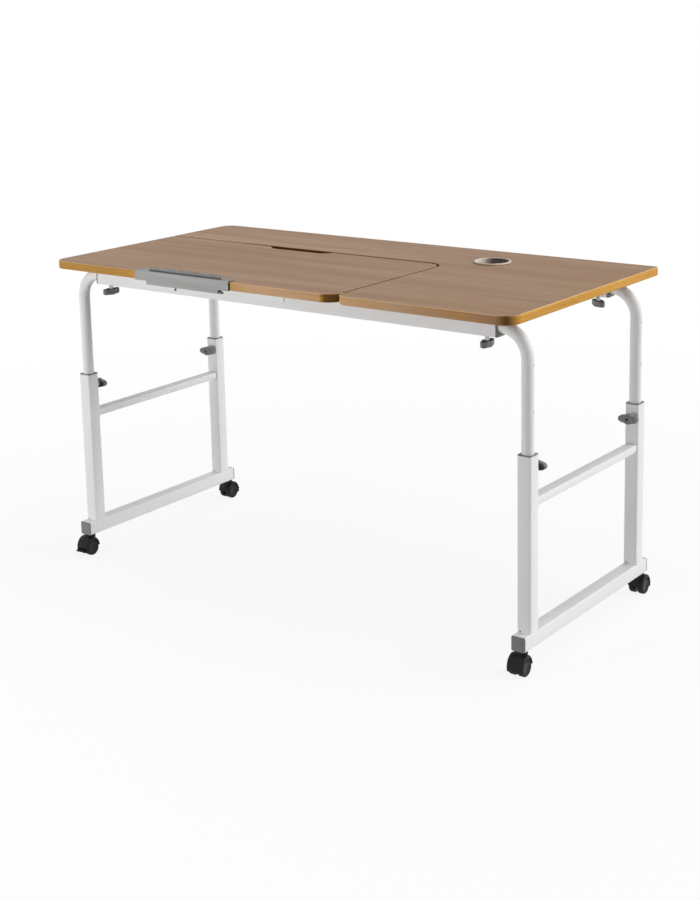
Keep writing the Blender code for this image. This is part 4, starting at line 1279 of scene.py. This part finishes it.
class DESK_OT_book_stop(Operator):
    """Fold the book stop's plate and its sliding ledge from sheet steel"""

    bl_idname = "desk.book_stop"
    bl_label = "Book stop"

    def execute(self, context):
        sizes = context.scene.desk_sizes
        sheet = sizes.plate
        low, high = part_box("stop_guide")
        middle = (low + high) / 2
        slide_low, slide_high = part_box("stop_slide")
        slide_x = (slide_low.x + slide_high.x) / 2
        span = slide_high.x - slide_low.x
        lip_middle = slide_high.y - sheet / 2

        outline = folded([(high.y, high.z), (low.y, high.z), (low.y, low.z)], sheet, sizes.fold)
        end = high.x - sizes.stop_trim
        bm = slab([outline], low.x - middle.x, end - middle.x, 0.0002, 1)
        mesh = as_mesh("stop_plate", turned(bm, at((middle.x, 0, 0)) @ SIDEWAYS), ["zinc"], 30.0)
        end_play, play = 0.004, 0.0016
        outline = rectangle(span + end_play, sheet + play, 0.0008, 3)
        slot = slab([outline], high.z - 0.006, high.z + 0.01, 0.0001, 1)
        mesh = cut_mesh(mesh, [turned(slot, at((middle.x, lip_middle, 0)))], "zinc", 30.0)
        piece("stop_plate", mesh, "panel", "stop_guide")

        # Painted shadow: a black strip at the plate's right end stands for the shadowed gap between the plate
        # and the board's edge
        shadow_strip_width = 0.0032
        shadow_strip_height = high.z - low.z - 0.004
        shadow_strip = slab([rectangle(shadow_strip_width, shadow_strip_height, 0.0008, 2)], -sheet / 2, sheet / 2, 0.0003, 2)
        turned(shadow_strip, at((end + 0.0017, low.y + sheet / 2 + 0.0001, middle.z - 0.0008), 90, "X"))
        make("stop_end_shadow_strip", shadow_strip, ["black"], "panel")

        path = [(slide_low.y, low.z - 0.0001), (slide_low.y, slide_low.z)]
        path += [(slide_high.y, slide_low.z), (slide_high.y, slide_high.z)]
        bm = slab([folded(path, sheet, sizes.fold)], -span / 2, span / 2, 0.0002, 1)
        turned(bm, at((slide_x, 0, 0)) @ SIDEWAYS)
        make("stop_ledge", bm, ["zinc"], "stop", "stop_slide", sharp=30.0)

        grip = slab([rectangle(span, sheet + 0.0007, 0.0009, 3)], high.z + 0.0004, slide_high.z, 0.0007, 3)
        turned(grip, at((slide_x, lip_middle, 0)))
        make("ledge_grip", grip, ["lip"], "stop")
        return {"FINISHED"}


class DESK_OT_fasteners(Operator):
    """Drive the screws that hold the boards to the beams and set the peg and the tab under the ledge"""

    bl_idname = "desk.fasteners"
    bl_label = "Fasteners"

    def execute(self, context):
        head = screw_mesh(0.0042)
        spots = [("front", x) for x in (0.24, 0.36, 0.47)]
        spots += [("rear", x) for x in (-0.44, -0.26, -0.08, 0.10, 0.28, 0.44)]
        for k, (word, x) in enumerate(spots):
            low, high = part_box(word + "_apron")
            matrix = facing((x, (low.y + high.y) / 2, low.z), DOWN)
            piece(f"beam_screw_{k + 1}", head, "top", matrix=matrix)
        low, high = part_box("stop_slide")
        y = low.y + 0.0045
        peg_x = low.x + 0.0805
        tab_x = high.x + 0.0045
        peg = [(0.0, 0.0006), (0.0016, 0.0006), (0.0016, -0.0016), (0.0025, -0.0020)]
        peg += [(0.0027, -0.0050), (0.0021, -0.0060), (0.0, -0.0062)]
        matrix = at((peg_x, y, low.z))
        make("ledge_peg", lathe(peg, 24), ["grey"], "stop", matrix=matrix)
        tab = slab([rectangle(0.012, 0.006, 0.0012, 3)], 0.0002, 0.0050, 0.0006, 2)
        matrix = at((tab_x, y, low.z))
        make("ledge_tab", tab, ["grey"], "stop", matrix=matrix)
        return {"FINISHED"}


class DESK_OT_stage(Operator):
    """Set up the floor, the room light, the lamps and the camera"""

    bl_idname = "desk.stage"
    bl_label = "Stage"

    def seen(self, nodes):
        """One where the camera, a reflection or a view through glass meets a surface."""
        path = nodes.add("ShaderNodeLightPath")
        return nodes.most(path["Is Camera Ray"], path["Is Glossy Ray"], path["Is Transmission Ray"])

    def floor(self, context):
        """A pale floor that shows the camera white with the desk's shadow on it."""
        bm = bmesh.new()
        bmesh.ops.create_grid(bm, x_segments=8, y_segments=8, size=14.0)
        mesh = bpy.data.meshes.new("studio_floor")
        bm.to_mesh(mesh)
        bm.free()
        item = bpy.data.objects.new("studio_floor", mesh)
        item.location.z = -0.0004
        context.scene.collection.objects.link(item)
        material = bpy.data.materials.new("studio_floor")
        material.use_nodes = True
        nodes = Nodes(material.node_tree)
        nodes.tree.nodes.remove(nodes.tree.nodes["Principled BSDF"])
        far = nodes.vector("LENGTH", nodes.add("ShaderNodeTexCoord")["Object"])["Value"]
        share = nodes.ramp(far, 0.7, 2.6, context.scene.desk_stage.shadow, 0.0)
        white = nodes.add("ShaderNodeEmission", {"Color": (1, 1, 1, 1), "Strength": 1.0})[0]
        plain = nodes.add("ShaderNodeBsdfDiffuse", {"Color": (*context.scene.desk_colours.floor, 1)})[0]
        shade = nodes.add("ShaderNodeBsdfDiffuse", {"Color": (0.95, 0.95, 0.95, 1)})[0]
        shown = nodes.add("ShaderNodeMixShader", {0: share, 1: white, 2: shade})[0]
        both = nodes.add("ShaderNodeMixShader", {0: self.seen(nodes), 1: plain, 2: shown})[0]
        nodes.feed(nodes.tree.nodes["Material Output"].inputs["Surface"], both)
        mesh.materials.append(material)

    def room(self, context):
        """Even light all round, white where the camera or a reflection sees it."""
        world = bpy.data.worlds.new("studio_room")
        context.scene.world = world
        world.use_nodes = True
        nodes = Nodes(world.node_tree)
        nodes.tree.nodes.clear()
        soft, white = (
            nodes.add("ShaderNodeBackground", {"Color": (1, 1, 1, 1), "Strength": strength})[0]
            for strength in (context.scene.desk_stage.sky, 1.0)
        )
        both = nodes.add("ShaderNodeMixShader", {0: self.seen(nodes), 1: soft, 2: white})[0]
        nodes.add("ShaderNodeOutputWorld", {"Surface": both})

    def lamp(self, context, name, kind, energy, place, aim, **settings):
        """One lamp, aimed at a point and kept out of reflections."""
        data = bpy.data.lights.new(name, kind)
        data.energy = energy
        for key, value in settings.items():
            setattr(data, key, value)
        item = bpy.data.objects.new(name, data)
        context.scene.collection.objects.link(item)
        item.matrix_world = facing(place, Vector(place) - Vector(aim))
        item.visible_glossy = False

    def camera(self, context):
        """The camera, placed by its turn, tilt and roll."""
        stage = context.scene.desk_stage
        data = bpy.data.cameras.new("camera")
        data.lens = stage.lens
        data.sensor_width = 36.0
        data.shift_y = stage.shift
        data.clip_end = 60.0
        item = bpy.data.objects.new("camera", data)
        context.scene.collection.objects.link(item)
        turn = stage.azimuth
        tilt = stage.elevation
        back = Vector((math.sin(turn) * math.cos(tilt), -math.cos(turn) * math.cos(tilt), math.sin(tilt)))
        right = Vector((math.cos(turn), math.sin(turn), 0))
        up = back.cross(right)
        x = right * math.cos(stage.roll) + up * math.sin(stage.roll)
        y = up * math.cos(stage.roll) - right * math.sin(stage.roll)
        item.matrix_world = Matrix.Translation(stage.place) @ Matrix((x, y, back)).transposed().to_4x4()
        context.scene.camera = item

    def execute(self, context):
        stage = context.scene.desk_stage
        context.scene.view_settings.view_transform = "Standard"
        self.floor(context)
        self.room(context)
        for name, strength, turn, rise, spread in (
            ("key_light", stage.key, 35, 14, 36),
            ("side_light", stage.side, 20, 40, 36),
            ("top_light", stage.top, 0, 88, 60),
        ):
            aim = Matrix.Rotation(math.radians(turn), 3, "Z") @ Matrix.Rotation(math.radians(-rise), 3, "Y")
            place = aim @ Vector((4.0, 0.0, 0.0))
            self.lamp(context, name, "SUN", strength, place, (0, 0, 0), angle=math.radians(spread))
        shape = {"shape": "RECTANGLE", "size": 1.7, "size_y": 0.60}
        self.lamp(context, "fill_light", "AREA", stage.fill, (-1.35, -2.65, 0.40), (0, 0, 0.40), **shape)
        self.camera(context)
        return {"FINISHED"}


OPERATORS = (
    DESK_OT_boards,
    DESK_OT_cup_ring,
    DESK_OT_tubes,
    DESK_OT_leg_frames,
    DESK_OT_beams,
    DESK_OT_collars,
    DESK_OT_knobs,
    DESK_OT_casters,
    DESK_OT_tilt_hardware,
    DESK_OT_book_stop,
    DESK_OT_fasteners,
    DESK_OT_stage,
)


class DESK_PT_looks(Panel):
    """Lists the steps that dress the desk"""

    bl_idname = "DESK_PT_looks"
    bl_label = "Desk looks"
    bl_space_type = "VIEW_3D"
    bl_region_type = "UI"
    bl_category = "Desk"

    def draw(self, context):
        for operator in OPERATORS:
            self.layout.operator(operator.bl_idname)
        for settings in (context.scene.desk_sizes, context.scene.desk_colours, context.scene.desk_stage):
            box = self.layout.box()
            for key in settings.__annotations__:
                box.prop(settings, key)


CLASSES = (DeskSizes, DeskColours, DeskStage, *OPERATORS, DESK_PT_looks)


def register():
    """Registers the classes and hangs the settings on the scene."""
    for item in CLASSES:
        bpy.utils.register_class(item)
    bpy.types.Scene.desk_sizes = PointerProperty(type=DeskSizes)
    bpy.types.Scene.desk_colours = PointerProperty(type=DeskColours)
    bpy.types.Scene.desk_stage = PointerProperty(type=DeskStage)


def unregister():
    """Takes the settings and classes away again."""
    del bpy.types.Scene.desk_stage
    del bpy.types.Scene.desk_colours
    del bpy.types.Scene.desk_sizes
    for item in reversed(CLASSES):
        bpy.utils.unregister_class(item)


def main():
    """Runs every step in order."""
    register()
    bpy.ops.desk.boards()
    bpy.ops.desk.cup_ring()
    bpy.ops.desk.tubes()
    bpy.ops.desk.leg_frames()
    bpy.ops.desk.beams()
    bpy.ops.desk.collars()
    bpy.ops.desk.knobs()
    bpy.ops.desk.casters()
    bpy.ops.desk.tilt_hardware()
    bpy.ops.desk.book_stop()
    bpy.ops.desk.fasteners()
    bpy.ops.desk.stage()


if __name__ == "__main__":
    main()
